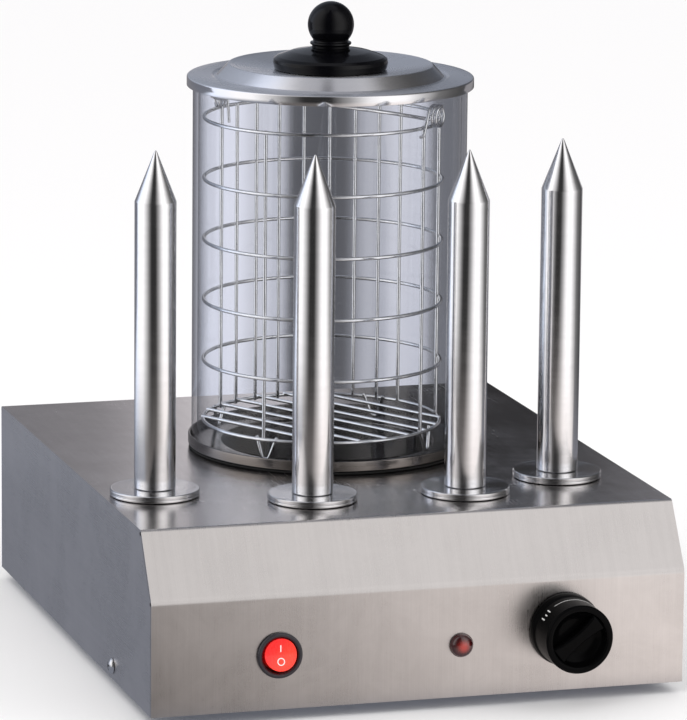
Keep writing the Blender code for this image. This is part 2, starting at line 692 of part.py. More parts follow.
# ---------------------------------------------------------------- front controls
def build_switch_body():
    """A round cup with a bezel, a cross hole for the rocker and three tags behind."""
    profile = [(0, -8.8), (9.45, -8.8), (9.45, 2.0), (11.3, 2.2), (11.95, 1.5), (11.95, GAP),
               (10.0, GAP), (10.0, -22.0), (0, -22.0)]
    body = turned("switch_body", profile, SWITCH_AT, "matte_black", 22, turn=FORWARD)
    cut(body, bore("trunnion_hole", 1.4, 30, 10, ROCKER_AT, LEFTWARD))
    for i in range(3):
        x = SWITCH_X + (i - 1) * 5
        join(body, box("switch_tag_%d" % i, (x - 0.5, 21, SWITCH_Z - 3),
                       (x + 0.5, 30, SWITCH_Z + 3)))


def build_rocker():
    """The paddle, at rest with its upper half pressed in."""
    lean_in = Matrix.Rotation(math.radians(-SWITCH_TILT), 4, "X")
    paddle = [(0, PADDLE_TOP), (7.9, PADDLE_TOP), (8.4, 5.3), (8.4, -3.6), (0, -3.6)]
    rocker = turned("switch_rocker", paddle, ROCKER_AT, "red", 20, turn=lean_in @ FORWARD)
    # a shallow valley across the paddle: (up from the pivot, out from the pivot)
    reach = 10
    rim = PADDLE_TOP + reach * math.tan(math.radians(SWITCH_TILT)) - VALLEY_DEPTH
    valley = [(-reach, rim), (0, PADDLE_TOP - VALLEY_DEPTH), (reach, rim),
              (reach, 12), (-reach, 12)]
    outline = [(SWITCH_PIVOT_Y - out, SWITCH_Z + up) for up, out in valley]
    wedge = plate("rocker_valley", outline, 12, at=(SWITCH_X, 0, 0))
    wedge.matrix_world = (Matrix.Translation(ROCKER_AT) @ lean_in
                          @ Matrix.Translation(-ROCKER_AT) @ wedge.matrix_world)
    cut(rocker, wedge)
    pin = [(0, 9.7), (1.0, 9.7), (1.0, -9.7), (0, -9.7)]
    join(rocker, turned("rocker_trunnion", pin, ROCKER_AT, steps=10, turn=LEFTWARD))


def build_lamp():
    body = [(0, 0.0), (4.9, 0.0), (4.9, -1.6), (7.5, -1.6), (7.5, -4.6), (4.9, -4.6),
            (4.9, -20), (0, -20)]
    lens = [(0, 5.2), (2.4, 4.9), (4.4, 3.9), (5.6, 2.4), (6.3, 1.4), (6.3, GAP), (0, GAP)]
    turned("lamp_body", body, LAMP_AT, "matte_black", 14, turn=FORWARD)
    turned("lamp_lens", lens, LAMP_AT, "dark_red", 18, turn=FORWARD)


def build_thermostat():
    half = THERMOSTAT_HALF
    body = box("thermostat_body", (DIAL_X - half, 1.7, DIAL_Z - half),
               (DIAL_X + half, 24, DIAL_Z + half), "zinc")
    shaft = [(0, 16.0), (3.0, 16.0), (3.0, 0.3), (4.7, 0.3), (4.7, -4.0), (0, -4.0)]
    join(body, turned("thermostat_shaft", shaft, DIAL_AT, steps=16, turn=FORWARD))


def build_dial():
    """The thermostat knob: a recessed face crossed by a waisted grip."""
    profile = [
        (0, 18.5), (13.6, 19.5), (14.6, DIAL_FRONT - 0.3), (17.2, DIAL_FRONT),
        (DIAL_R, DIAL_FRONT - 0.8), (DIAL_R, 7.0), (18.8, 5.0), (19.0, 0.7), (3.4, 0.7),
        (3.4, 16.6), (0, 16.6),
    ]
    dial = turned("thermostat_knob", profile, DIAL_AT, "black", 26, turn=FORWARD)
    grip = [(-14.2, -4.6), (0, -3.4), (14.2, -4.6), (14.2, 4.6), (0, 3.4), (-14.2, 4.6)]
    lean = Matrix.Rotation(math.radians(-DIAL_GRIP_DEG), 4, "Y")
    join(dial, plate("dial_grip", grip, 4.0, at=(DIAL_X, -(DIAL_FRONT - 5.5), DIAL_Z),
                     plane=lean @ PLANE_XZ))


def build_capillary():
    """A capillary from the thermostat to its bulb, the thick end beside the pan."""
    route = [   # x, y, z, scale of the radius
        (77.1, 24.4, 30, 1), (77, 50, 26, 1), (74, 80, 24, 1), (64, 115, 26, 1),
        (54, 138, 32, 1), (50.8, 144.7, 38, 1), (50.6, 144.9, 41, 1),
        (50.6, 144.9, 42, 3.0), (50.6, 144.9, 86, 3.0),
    ]
    wire("thermostat_bulb", [world(x, y, z) for x, y, z, _ in route], 1.0, "copper",
         scales=[row[3] for row in route])


# ---------------------------------------------------------------- supply
def inlet_box(name, half_x, half_z, y0, y1, kind=None, dx=0, dz=0):
    """A box round the inlet's axis, moved by dx and dz, from y0 back to y1."""
    x, z = INLET_X + dx, INLET_Z + dz
    return box(name, (x - half_x, y0, z - half_z), (x + half_x, y1, z + half_z), kind)


def build_inlet():
    inlet = inlet_box("power_inlet", 14.2, 10.2, 312, DEPTH + 2, "matte_black")
    join(inlet, inlet_box("inlet_flange", 18, 13, REAR_FACE, REAR_FACE + 1.8))
    cut(inlet, inlet_box("inlet_well", 11.5, 7.5, 318, DEPTH + 8))
    for i, (dx, dz) in enumerate(((-7, -1.5), (0, 2.0), (7, -1.5))):
        join(inlet, inlet_box("inlet_pin_%d" % i, 1, 2, 305, 331, dx=dx, dz=dz))


def build_terminal_block():
    """A block with four slots open at the top."""
    first, pitch, width = -55.5, 12, 9
    block = box("terminal_block", (-58, 288, 1.8), (-8, 308, 16), "ceramic")
    for i in range(4):
        x = first + i * pitch
        cut(block, box("terminal_slot_%d" % i, (x, 285, 7), (x + width, 311, 20)))


def build_leads():
    """The live lead runs to the switch and the neutral lead to the terminal block."""
    live = [(-102, 304.5, 30.5), (-104, 290, 30), (-112, 260, 26), (-112, 120, 22),
            (-100, 60, 24), (-80.3, 38, 28), (-80.3, 30.6, 28.5)]
    neutral = [(-88, 304.5, 30.5), (-86, 298, 28), (-80, 285, 24), (-66, 278, 14),
               (-51, 280, 11), (-51, 286, 11)]
    wire("lead_live", [world(*point) for point in live], 1.2, "wire_red")
    wire("lead_neutral", [world(*point) for point in neutral], 1.2, "wire_blue")


def shade_plain_meshes():
    """Smooth shading with sharp folds, on the pieces that are not turned."""
    for obj in PARTS.objects:
        if obj.type == "MESH" and not any(mod.type == "SCREW" for mod in obj.modifiers):
            obj.data.shade_smooth()
            obj.data.set_sharp_from_angle(angle=math.radians(35.0))


build_shell()
build_base()
build_rear_panel()
build_screws_and_feet()
build_pan_and_seat()
build_heater()
build_lid(build_glass())
build_handle(build_basket())
build_spikes()
build_switch_body()
build_rocker()
build_lamp()
build_thermostat()
build_dial()
build_capillary()
build_inlet()
build_terminal_block()
build_leads()
shade_plain_meshes()
bpy.context.view_layer.update()
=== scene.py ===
"""Counter-top hot dog steamer: a steel housing with four spikes on its left-to-right deck, a glass
steam cylinder with lid and wire basket, and switch, lamp and thermostat on the front.

Piece sizes are millimetres in the housing's frame: x to the right, y from the front (0) to the
back, z up from the housing's underside (0). The world is in metres, with the feet on z = 0.
"""
import json
import math

import bmesh
import bpy
from mathutils import Matrix, Vector


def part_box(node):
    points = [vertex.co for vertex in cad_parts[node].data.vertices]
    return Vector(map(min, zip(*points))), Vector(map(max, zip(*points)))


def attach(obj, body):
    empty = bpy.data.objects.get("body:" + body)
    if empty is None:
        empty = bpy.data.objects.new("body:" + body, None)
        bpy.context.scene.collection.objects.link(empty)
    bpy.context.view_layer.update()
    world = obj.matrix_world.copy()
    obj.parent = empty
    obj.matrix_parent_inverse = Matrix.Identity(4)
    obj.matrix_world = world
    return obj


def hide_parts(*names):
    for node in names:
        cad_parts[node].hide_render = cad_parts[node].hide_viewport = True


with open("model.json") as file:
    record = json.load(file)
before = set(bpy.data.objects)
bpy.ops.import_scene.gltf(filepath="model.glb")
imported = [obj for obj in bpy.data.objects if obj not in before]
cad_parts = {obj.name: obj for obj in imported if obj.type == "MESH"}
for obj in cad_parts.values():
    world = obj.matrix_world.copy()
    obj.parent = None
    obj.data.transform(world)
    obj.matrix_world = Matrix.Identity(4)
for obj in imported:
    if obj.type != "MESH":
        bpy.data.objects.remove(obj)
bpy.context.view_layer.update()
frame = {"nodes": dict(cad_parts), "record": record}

MM = 0.001
Y_MID, FOOT_HEIGHT = 155.5, 6.0


def point(x, y, z):
    """Millimetres in the housing's frame to world metres."""
    return Vector((x * MM, (y - Y_MID) * MM, (z + FOOT_HEIGHT) * MM))


def middle(node):
    """Middle of a CAD node, in millimetres of the housing's frame."""
    low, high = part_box(node)
    centre = (low + high) / 2
    return centre.x / MM, centre.y / MM + Y_MID, centre.z / MM - FOOT_HEIGHT


# ================================================================ driving dimensions
HALF_WIDTH, DEPTH, DECK = 142.5, 332.5, 92.5
FRONT_TOP, SLOPE_RUN = 59.5, 21.2       # height of the upright front, depth of the slope above it
SHEET = 1.2                             # sheet thickness
PANEL_Y = DEPTH + 0.3                   # inner face of the rear panel
PANEL_BACK = PANEL_Y + SHEET
LOUVRE_X = (15, 105)
LOUVRE_Z = [28 + row * 9.0 for row in range(6)]

GLASS_X, GLASS_Y = middle("glass_cylinder")[:2]
BASKET_X, BASKET_Y = 2.0, 190.0
SPIKES = {key: middle("spike_" + key)[:2] for key in "abcd"}
SWITCH_X, SWITCH_Z = -75.3, 28.5
LAMP_X, _, LAMP_Z = middle("lamp_lens")
DIAL_X, DIAL_Z = 77.1, 32.8
INLET_X, INLET_Z = -95.0, 32.0

SIDE_SCREW_Y, SIDE_SCREW_Z = 79.0, 7.2
REAR_SCREWS = (("lower_left", -135.5, 20), ("lower_right", 135.5, 20),
               ("upper_left", -135.5, 80), ("upper_right", 135.5, 80))
SCREW_HOLE = 2.4

# turns that carry a piece's own z axis to a direction in the world
UPRIGHT = Matrix.Identity(4)
FORWARD = Matrix.Rotation(math.radians(90), 4, "X")
BACKWARD = Matrix.Rotation(math.radians(-90), 4, "X")
LEFTWARD = Matrix.Rotation(math.radians(-90), 4, "Y")
RIGHTWARD = Matrix.Rotation(math.radians(90), 4, "Y")
TO_ORIGIN = Matrix.Translation(-point(0, 0, 0))     # undoes the offset that point() adds


# ================================================================ node helpers
class Nodes:
    """Short names for building a node tree; values may be numbers, tuples or sockets."""

    def __init__(self, tree):
        self.tree = tree

    def new(self, kind, **settings):
        node = self.tree.nodes.new(kind)
        for key, value in settings.items():
            setattr(node, key, value)
        return node

    def put(self, socket, value):
        if isinstance(value, bpy.types.NodeSocket):
            self.tree.links.new(value, socket)
        else:
            if socket.type == "RGBA" and len(value) == 3:
                value = (*value, 1.0)
            socket.default_value = value

    def fed(self, node, *values):
        """Fills the node's first inputs in order and returns its first output."""
        for socket, value in zip(node.inputs, values):
            self.put(socket, value)
        return node.outputs[0]

    def math(self, operation, *values):
        return self.fed(self.new("ShaderNodeMath", operation=operation), *values)

    def add(self, a, b):
        return self.math("ADD", a, b)

    def sub(self, a, b):
        return self.math("SUBTRACT", a, b)

    def mul(self, a, b):
        return self.math("MULTIPLY", a, b)

    def length(self, x, y):
        return self.math("SQRT", self.add(self.mul(x, x), self.mul(y, y)))

    def degrees(self, y, x):
        return self.mul(self.math("ARCTAN2", y, x), 57.2958)

    def azimuth(self, x, y):
        """Degrees from the front towards the right."""
        return self.degrees(x, self.mul(y, -1.0))

    def mix(self, factor, a, b):
        node = self.new("ShaderNodeMix", data_type="RGBA")
        for socket, value in (("Factor", factor), (6, a), (7, b)):
            self.put(node.inputs[socket], value)
        return node.outputs[2]

    def mix_value(self, factor, a, b):
        node = self.new("ShaderNodeMix", data_type="FLOAT")
        for socket, value in ((0, factor), (2, a), (3, b)):
            self.put(node.inputs[socket], value)
        return node.outputs[0]

    def mix_shader(self, factor, a, b):
        return self.fed(self.new("ShaderNodeMixShader"), factor, a, b)

    def emission(self, colour):
        return self.fed(self.new("ShaderNodeEmission"), colour)

    def scale(self, colour, by):
        node = self.new("ShaderNodeVectorMath", operation="SCALE")
        self.put(node.inputs[0], colour)
        self.put(node.inputs["Scale"], by)
        return node.outputs[0]

    def ramp(self, value, low, high, to=(0.0, 1.0), kind="SMOOTHSTEP"):
        """Maps low..high to the pair in to, with soft ends."""
        node = self.new("ShaderNodeMapRange", interpolation_type=kind)
        return self.fed(node, value, low, high, *to)

    def linear(self, value, low, high, to=(0.0, 1.0)):
        return self.ramp(value, low, high, to, "LINEAR")

    def colour_ramp(self, factor, stops):
        """Stops are (position, colour)."""
        node = self.new("ShaderNodeValToRGB")
        self.put(node.inputs[0], factor)
        elements = node.color_ramp.elements
        while len(elements) < len(stops):
            elements.new(0.5)
        for element, (position, _) in zip(elements, stops):
            element.position = position
        for element, (_, colour) in zip(elements, stops):
            element.color = (*colour, 1.0)
        return node.outputs[0]

    def coords(self, kind="Object"):
        return self.new("ShaderNodeTexCoord").outputs[kind]

    def geometry(self, kind):
        return self.new("ShaderNodeNewGeometry").outputs[kind]

    def noise(self, vector, scale=1.0, detail=3.0, rough=0.6, distortion=0.0, stretch=None):
        if stretch:
            mapping = self.new("ShaderNodeMapping")
            self.put(mapping.inputs["Vector"], vector)
            mapping.inputs["Scale"].default_value = stretch
            vector = mapping.outputs[0]
        node = self.new("ShaderNodeTexNoise")
        for socket, value in (("Vector", vector), ("Scale", scale), ("Detail", detail),
                              ("Roughness", rough), ("Distortion", distortion)):
            self.put(node.inputs[socket], value)
        return node.outputs["Fac"]

    def voronoi(self, vector, scale):
        node = self.new("ShaderNodeTexVoronoi")
        self.put(node.inputs["Vector"], vector)
        self.put(node.inputs["Scale"], scale)
        return node.outputs

    def split(self, vector):
        node = self.new("ShaderNodeSeparateXYZ")
        self.put(node.inputs[0], vector)
        return node.outputs

    def join(self, x, y, z):
        return self.fed(self.new("ShaderNodeCombineXYZ"), x, y, z)

    def bump(self, height, strength, distance, normal=None):
        node = self.new("ShaderNodeBump")
        for socket, value in (("Strength", strength), ("Distance", distance), ("Height", height)):
            self.put(node.inputs[socket], value)
        if normal is not None:
            self.put(node.inputs["Normal"], normal)
        return node.outputs[0]


class Material(Nodes):
    """A new material's node tree, with or without its Principled node."""
    INPUTS = {"color": "Base Color", "rough": "Roughness", "metal": "Metallic",
              "aniso": "Anisotropic", "tangent": "Tangent", "normal": "Normal",
              "coat": "Coat Weight", "coat_rough": "Coat Roughness",
              "glow": "Emission Strength", "glow_color": "Emission Color",
              "trans": "Transmission Weight", "ior": "IOR", "spec": "Specular IOR Level"}

    def __init__(self, name, principled=True):
        self.material = bpy.data.materials.new(name)
        self.material.use_nodes = True
        super().__init__(self.material.node_tree)
        self.bsdf = self.tree.nodes["Principled BSDF"]
        if not principled:
            self.tree.nodes.remove(self.bsdf)

    def surface(self, **values):
        for key, value in values.items():
            self.put(self.bsdf.inputs[self.INPUTS[key]], value)
        return self.material

    def output(self, shader):
        self.put(self.tree.nodes["Material Output"].inputs[0], shader)
        return self.material


# ================================================================ material recipes
def sheet_steel(name, base, rough):
    """Brushed sheet: grain front to back over the deck, down the front, and along the sides."""
    net = Material(name)
    coords = net.coords()
    sideways = net.math("ABSOLUTE", net.split(net.geometry("Normal"))[0])
    side = net.ramp(sideways, 0.5, 0.9)
    grain = net.mix_value(side, net.noise(coords, detail=4, rough=0.65, stretch=(2300, 26, 26)),
                          net.noise(coords, detail=4, rough=0.65, stretch=(26, 26, 2300)))
    broad = net.mix_value(side, net.noise(coords, stretch=(330, 8, 8)),
                          net.noise(coords, stretch=(8, 8, 330)))
    smudge = net.noise(coords, scale=19.0, detail=5, distortion=0.6)
    wipe = net.noise(coords, scale=46.0, detail=4, rough=0.7, distortion=1.6, stretch=(1, 1, 1))
    # sparse dark specks: small spots in a tenth of the cells
    cells = net.voronoi(coords, scale=62.0)
    chance = net.split(cells["Color"])[0]
    speck = net.mul(net.math("LESS_THAN", cells["Distance"], 0.055),
                    net.math("GREATER_THAN", chance, 0.90))
    tone = net.add(net.linear(grain, 0.2, 0.8, to=(-0.055, 0.055)),
                   net.linear(broad, 0.25, 0.75, to=(-0.03, 0.03)))
    tone = net.add(tone, net.ramp(smudge, 0.3, 0.7, to=(-0.08, 0.05)))
    tone = net.add(tone, net.ramp(wipe, 0.35, 0.75, to=(-0.02, 0.03)))
    tone = net.sub(tone, net.mul(speck, 0.10))
    gloss = net.add(net.linear(grain, 0.2, 0.8, to=(rough - 0.05, rough + 0.05)),
                    net.ramp(smudge, 0.3, 0.75, to=(-0.022, 0.032)))
    gloss = net.add(gloss, net.ramp(wipe, 0.3, 0.8, to=(-0.010, 0.014)))
    fine = net.bump(grain, strength=0.07, distance=0.00010)
    buckle = net.noise(coords, detail=1, rough=0.4, stretch=(7, 7, 7))
    # the deck is polished a little finer than the upright faces
    deck = net.ramp(net.split(net.geometry("Normal"))[2], 0.90, 0.99)
    return net.surface(color=net.scale(base, net.add(tone, 1.0)),
                       rough=net.sub(gloss, net.mul(deck, 0.07)), metal=1.0,
                       aniso=net.mix_value(deck, 0.6, 0.2),
                       tangent=net.mix(side, (1, 0, 0, 1), (0, 0, 1, 1)),
                       normal=net.bump(buckle, strength=0.18, distance=0.0014, normal=fine))


def turned_steel(name, base, rough, line, depth, aniso, vary, groove=0.0, shade=1.0, flat=None):
    """Turned or spun metal: fine rings round the piece's own axis.

    line is the rings' density, depth their relief and vary their tone. groove is the pitch of the
    grooves in the flat faces (m), shade the factor that darkens those faces as painted shade,
    flat their (roughness, anisotropy).
    """
    net = Material(name)
    coords = net.coords()
    x, y, z = net.split(coords)
    normal = net.geometry("Normal")
    face = net.ramp(net.math("ABSOLUTE", net.split(normal)[2]), 0.6, 0.85)
    radius = net.length(x, y)
    turn = net.math("ARCTAN2", y, x)
    along = net.mix_value(face, z, radius)
    rings = net.noise(net.join(net.mul(along, line), net.mul(turn, 0.8), 0.0))
    wide = net.noise(net.join(net.mul(along, line / 9), net.mul(turn, 0.5), 3.0),
                     detail=2, rough=0.5)
    smudge = net.noise(coords, scale=34.0, detail=4, distortion=0.5)
    tone = net.add(net.linear(rings, 0.25, 0.75, to=(-vary, vary)),
                   net.linear(wide, 0.3, 0.7, to=(-vary * 0.6, vary * 0.6)))
    tone = net.add(tone, net.ramp(smudge, 0.35, 0.7, to=(-0.03, 0.02)))
    colour = net.scale(base, net.add(tone, 1.0))
    gloss = net.add(net.linear(rings, 0.2, 0.8, to=(rough - 0.03, rough + 0.04)),
                    net.ramp(smudge, 0.35, 0.75, to=(-0.01, 0.05)))
    relief = net.bump(rings, strength=depth, distance=0.00010)
    # painted shade: the flat faces' colour is scaled down by shade
    if shade != 1.0:
        colour = net.scale(colour, net.mix_value(face, 1.0, shade))
    if groove:
        wave = net.math("SINE", net.mul(radius, math.tau / groove))
        relief = net.bump(net.mul(wave, face), strength=0.3, distance=0.00004, normal=relief)
        colour = net.scale(colour, net.ramp(net.mul(wave, face), -1.0, 1.0, to=(0.70, 1.08)))
    tangent = net.mix(face, (0, 0, 1, 1), net.join(x, y, 0.0))
    if flat:
        gloss = net.add(gloss, net.mul(face, flat[0] - rough))
        aniso = net.mix_value(face, aniso, flat[1])
    return net.surface(color=colour, rough=gloss, metal=1.0, aniso=aniso, tangent=tangent,
                       normal=relief)


def bright_metal(name, base, rough):
    """Smooth bright metal with small dull spots."""
    net = Material(name)
    coords = net.coords()
    fine = net.noise(coords, scale=900.0)
    spots = net.noise(coords, scale=120.0, detail=4)
    gloss = net.add(net.ramp(spots, 0.3, 0.7, to=(rough - 0.03, rough + 0.09)),
                    net.ramp(fine, 0.3, 0.7, to=(-0.02, 0.03)))
    return net.surface(color=net.scale(base, net.ramp(spots, 0.3, 0.75, to=(0.88, 1.05))),
                       rough=gloss, metal=1.0,
                       normal=net.bump(fine, strength=0.12, distance=0.00008))


def moulded(name, base, rough, grain=1500.0, depth=0.12, coat=0.0, spec=0.5, vary=0.15):
    """Moulded plastic or rubber; grain and depth set its fine texture, vary its blotches."""
    net = Material(name)
    coords = net.coords()
    fine = net.noise(coords, scale=grain)
    blotch = net.noise(coords, scale=70.0, detail=4, rough=0.65, distortion=0.4)
    gloss = net.add(net.ramp(blotch, 0.3, 0.75, to=(rough - 0.03, rough + 0.08)),
                    net.ramp(fine, 0.3, 0.7, to=(-0.02, 0.02)))
    colour = net.scale(base, net.ramp(blotch, 0.3, 0.75, to=(1.0 - vary, 1.0 + vary)))
    return net.surface(color=colour, rough=gloss, coat=coat, coat_rough=0.06, spec=spec,
                       normal=net.bump(fine, strength=depth, distance=0.00008))


def zinc(name, base=(0.62, 0.63, 0.66)):
    """Zinc with a flaky tone and faint streaks."""
    net = Material(name)
    coords = net.coords()
    flake = net.split(net.voronoi(coords, scale=160.0)["Color"])[0]
    streak = net.noise(coords, stretch=(40, 300, 40))
    tone = net.add(net.linear(flake, 0, 1, to=(0.86, 1.04)),
                   net.ramp(streak, 0.3, 0.7, to=(-0.04, 0.04)))
    return net.surface(color=net.scale(base, tone), metal=1.0,
                       rough=net.linear(flake, 0, 1, to=(0.30, 0.48)),
                       normal=net.bump(streak, strength=0.1, distance=0.0001))


def glass(name):
    """Clear glass with soft smears; light passes straight to the inside."""
    net = Material(name)
    coords = net.coords()
    smear = net.noise(coords, detail=4, distortion=0.8, stretch=(30, 30, 9))
    waves = net.noise(coords, scale=14.0, detail=1, rough=0.5)
    net.surface(color=(0.955, 0.97, 0.985), trans=1.0, ior=1.47,
                rough=net.ramp(smear, 0.45, 0.8, to=(0.0, 0.035)),
                normal=net.bump(waves, strength=0.12, distance=0.0012))
    # each face lets the light straight on and mirrors more of the room the more it turns away
    facing = net.new("ShaderNodeLayerWeight")
    facing.inputs["Blend"].default_value = 0.5
    edge = net.math("POWER", facing.outputs["Facing"], 5.0)
    clear = net.fed(net.new("ShaderNodeBsdfTransparent"),
                    net.mix(edge, (0.965, 0.972, 0.980), (0.80, 0.82, 0.85)))
    mirror = net.new("ShaderNodeBsdfGlossy")
    net.put(mirror.inputs["Roughness"], net.ramp(smear, 0.45, 0.8, to=(0.015, 0.06)))
    wall = net.mix_shader(net.add(net.mul(edge, 0.72), 0.030), clear, mirror.outputs[0])
    # factor 0 keeps the thin wall; raising it brings in the refracting surface
    return net.output(net.mix_shader(0.0, wall, net.bsdf.outputs[0]))


def rocker_red(name):
    """Lit red plastic, warmer towards the lower right and dimmer at the rim."""
    net = Material(name)
    coords = net.coords()
    y = net.split(coords)[1]
    x = net.split(coords)[0]
    warmth = net.ramp(net.sub(x, y), -0.009, 0.009)
    fine = net.noise(coords, stretch=(900, 240, 900))
    colour = net.mix(warmth, (0.80, 0.004, 0.004), (0.95, 0.03, 0.010))
    glow = net.mul(net.ramp(net.length(x, y), 0.0052, 0.0084, to=(1.0, 0.25)),
                   net.ramp(fine, 0.3, 0.7, to=(0.9, 1.1)))
    return net.surface(color=colour, rough=net.ramp(fine, 0.3, 0.7, to=(0.22, 0.32)), coat=0.5,
                       coat_rough=0.08, glow=net.mul(glow, 0.62), glow_color=colour,
                       normal=net.bump(fine, strength=0.15, distance=0.0001))


def lamp_red(name):
    """Ruby lens with fourteen soft facets and a faint glow at its middle."""
    net = Material(name)
    x, y, _ = net.split(net.coords())
    radius = net.length(x, y)
    facet = net.math("SINE", net.mul(net.math("ARCTAN2", y, x), 14.0))
    colour = net.mix(net.ramp(radius, 0.0008, 0.0048), (0.26, 0.020, 0.014), (0.035, 0.004, 0.005))
    glow = net.mul(net.ramp(radius, 0.0, 0.0038, to=(0.30, 0.0)),
                   net.ramp(facet, -1, 1, to=(0.8, 1.0)))
    relief = net.mul(facet, net.ramp(radius, 0.001, 0.004))
    return net.surface(color=colour, rough=0.16, coat=1.0, coat_rough=0.05, glow=glow,
                       glow_color=(0.55, 0.04, 0.03),
                       normal=net.bump(relief, strength=0.2, distance=0.0001))


def mark_white(name):
    net = Material(name)
    noise = net.noise(net.coords(), scale=700.0)
    return net.surface(color=net.mix(noise, (0.85, 0.55, 0.55), (0.95, 0.72, 0.70)), rough=0.4,
                       glow=0.35, glow_color=(1.0, 0.62, 0.60))


# finish: (material, material slot in the frame)
FINISHES = {
    "shell": (sheet_steel("brushed_housing_steel", base=(0.66, 0.635, 0.625), rough=0.30),
              "brushed_steel_shell"),
    "rear": (sheet_steel("brushed_rear_steel", base=(0.62, 0.605, 0.60), rough=0.33),
             "brushed_steel_rear"),
    "lid": (turned_steel("spun_lid_steel", base=(0.82, 0.82, 0.84), rough=0.12, line=1700,
                         depth=0.05, aniso=0.5, vary=0.025, flat=(0.27, 0.85)), "lid_steel"),
    # the seat's flat faces are darkened to 0.35 as painted shade inside the glass
    "seat": (turned_steel("rolled_seat_steel", base=(0.24, 0.222, 0.21), rough=0.18, line=1400,
                          depth=0.07, aniso=0.4, vary=0.05, shade=0.35), "seat_steel"),
    # the pan's dark base colour is painted shade: its wall stands in shade inside the glass
    "pan": (turned_steel("drawn_pan_steel", base=(0.26, 0.255, 0.26), rough=0.20, line=900,
                         depth=0.08, aniso=0.3, vary=0.05), "pan_steel"),
    "spike": (turned_steel("turned_spike_metal", base=(0.87, 0.87, 0.885), rough=0.15, line=2400,
                           depth=0.10, aniso=0.55, vary=0.035), "spike_metal"),
    "flange": (turned_steel("turned_flange_metal", base=(0.86, 0.86, 0.875), rough=0.13, line=3600,
                            depth=0.25, aniso=0.5, vary=0.06, groove=0.0009), "flange_metal"),
    "wire": (bright_metal("bright_basket_wire", base=(0.92, 0.92, 0.935), rough=0.10),
             "basket_wire"),
    "bail": (bright_metal("bright_handle_wire", base=(0.90, 0.90, 0.915), rough=0.12),
             "basket_wire"),
    "screw": (bright_metal("screw_steel", base=(0.75, 0.75, 0.76), rough=0.2), "screw_steel"),
    "gloss": (moulded("gloss_black_knob", base=(0.0022, 0.0022, 0.0032), rough=0.12, grain=700,
                      depth=0.03, coat=0.16, spec=0.12), "black_plastic"),
    "dial": (moulded("moulded_black_dial", base=(0.0018, 0.0018, 0.002), rough=0.30, grain=1900,
                     depth=0.15, coat=0.035, spec=0.03), "black_plastic"),
    "switch": (moulded("switch_black", base=(0.022, 0.020, 0.026), rough=0.30, grain=1700,
                       depth=0.18, coat=0.25), "switch_plastic"),
    "rubber": (moulded("foot_rubber", base=(0.022, 0.022, 0.022), rough=0.72, grain=900,
                       depth=0.4, spec=0.3), "rubber"),
    "gasket": (moulded("gasket_rubber", base=(0.012, 0.012, 0.012), rough=0.65, grain=900,
                       depth=0.3, spec=0.3), "rubber"),
    "print": (moulded("dial_print", base=(0.78, 0.78, 0.77), rough=0.45, depth=0.1, spec=0.4,
                      vary=0.08), "black_plastic"),
    "inlet": (moulded("inlet_plastic", base=(0.016, 0.016, 0.017), rough=0.42, depth=0.3,
                      spec=0.4), "matte_plastic"),
    "brass": (bright_metal("plated_pin", base=(0.80, 0.76, 0.66), rough=0.25), "matte_plastic"),
    "glass": (glass("steam_glass"), "glass"),
    "red": (rocker_red("lit_red_rocker"), "switch_red"),
    "lamp": (lamp_red("ruby_lamp_lens"), "lamp_red"),
    "mark": (mark_white("switch_mark"), "switch_red"),
}


# ================================================================ mesh helpers
def add_part(name, mesh, finish, body="housing", replaces=None, at=None, turn=None, sharp=38.0):
    """Puts a smooth-shaded mesh in the scene, hangs it on its body's empty and hides the CAD node
    it replaces.
    """
    material, slot = FINISHES[finish]
    obj = bpy.data.objects.new(name, mesh)
    bpy.context.scene.collection.objects.link(obj)
    mesh.materials.clear()
    mesh.materials.append(material)
    mesh.shade_smooth()
    mesh.set_sharp_from_angle(angle=math.radians(sharp))
    if turn is not None:
        obj.rotation_euler = turn.to_euler()
    if at is not None:
        obj.location = at
    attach(obj, body)
    if replaces:
        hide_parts(replaces)
    return obj


def weigh_normals(obj):
    modifier = obj.modifiers.new("normals", "WEIGHTED_NORMAL")
    modifier.keep_sharp = True
    modifier.weight = 60


def fillet(points, radii, steps=5, closed=False):
    """Rounds the corners of a flat polyline; radii is one number or one for each point."""
    count, out = len(points), []
    if not hasattr(radii, "__len__"):
        radii = [radii] * count
    for i, (corner, radius) in enumerate(zip(points, radii)):
        corner = Vector(corner)
        if radius <= 0 or (not closed and i in (0, count - 1)):
            out.append(tuple(corner))
            continue
        before = Vector(points[i - 1]) - corner
        after = Vector(points[(i + 1) % count]) - corner
        before_length, after_length = before.length, after.length
        before.normalize()
        after.normalize()
        angle = before.angle(after)
        if angle > math.radians(176) or angle < math.radians(3):
            out.append(tuple(corner))
            continue
        # a fillet takes up no more than about half of either side
        reach = min(radius / math.tan(angle / 2), 0.48 * before_length, 0.48 * after_length)
        radius = reach * math.tan(angle / 2)
        centre = corner + (before + after).normalized() * (radius / math.sin(angle / 2))
        start, end = corner + before * reach - centre, corner + after * reach - centre
        sweep = start.angle(end)
        sign = 1.0 if start.x * end.y - start.y * end.x > 0 else -1.0
        for k in range(steps + 1):
            turn = sign * sweep * k / steps
            cos, sin = math.cos(turn), math.sin(turn)
            out.append((centre.x + start.x * cos - start.y * sin,
                        centre.y + start.x * sin + start.y * cos))
    return out


def rectangle(low, high):
    return [(low[0], low[1]), (high[0], low[1]), (high[0], high[1]), (low[0], high[1])]


def raw_mesh(name, verts, faces):
    mesh = bpy.data.meshes.new(name)
    mesh.from_pydata([tuple(v) for v in verts], [], faces)
    return mesh


def solid_mesh(name, verts, faces):
    """A mesh with its normals turned outwards."""
    mesh = raw_mesh(name, verts, faces)
    bm = bmesh.new()
    bm.from_mesh(mesh)
    bmesh.ops.recalc_face_normals(bm, faces=bm.faces)
    bm.to_mesh(mesh)
    bm.free()
    return mesh


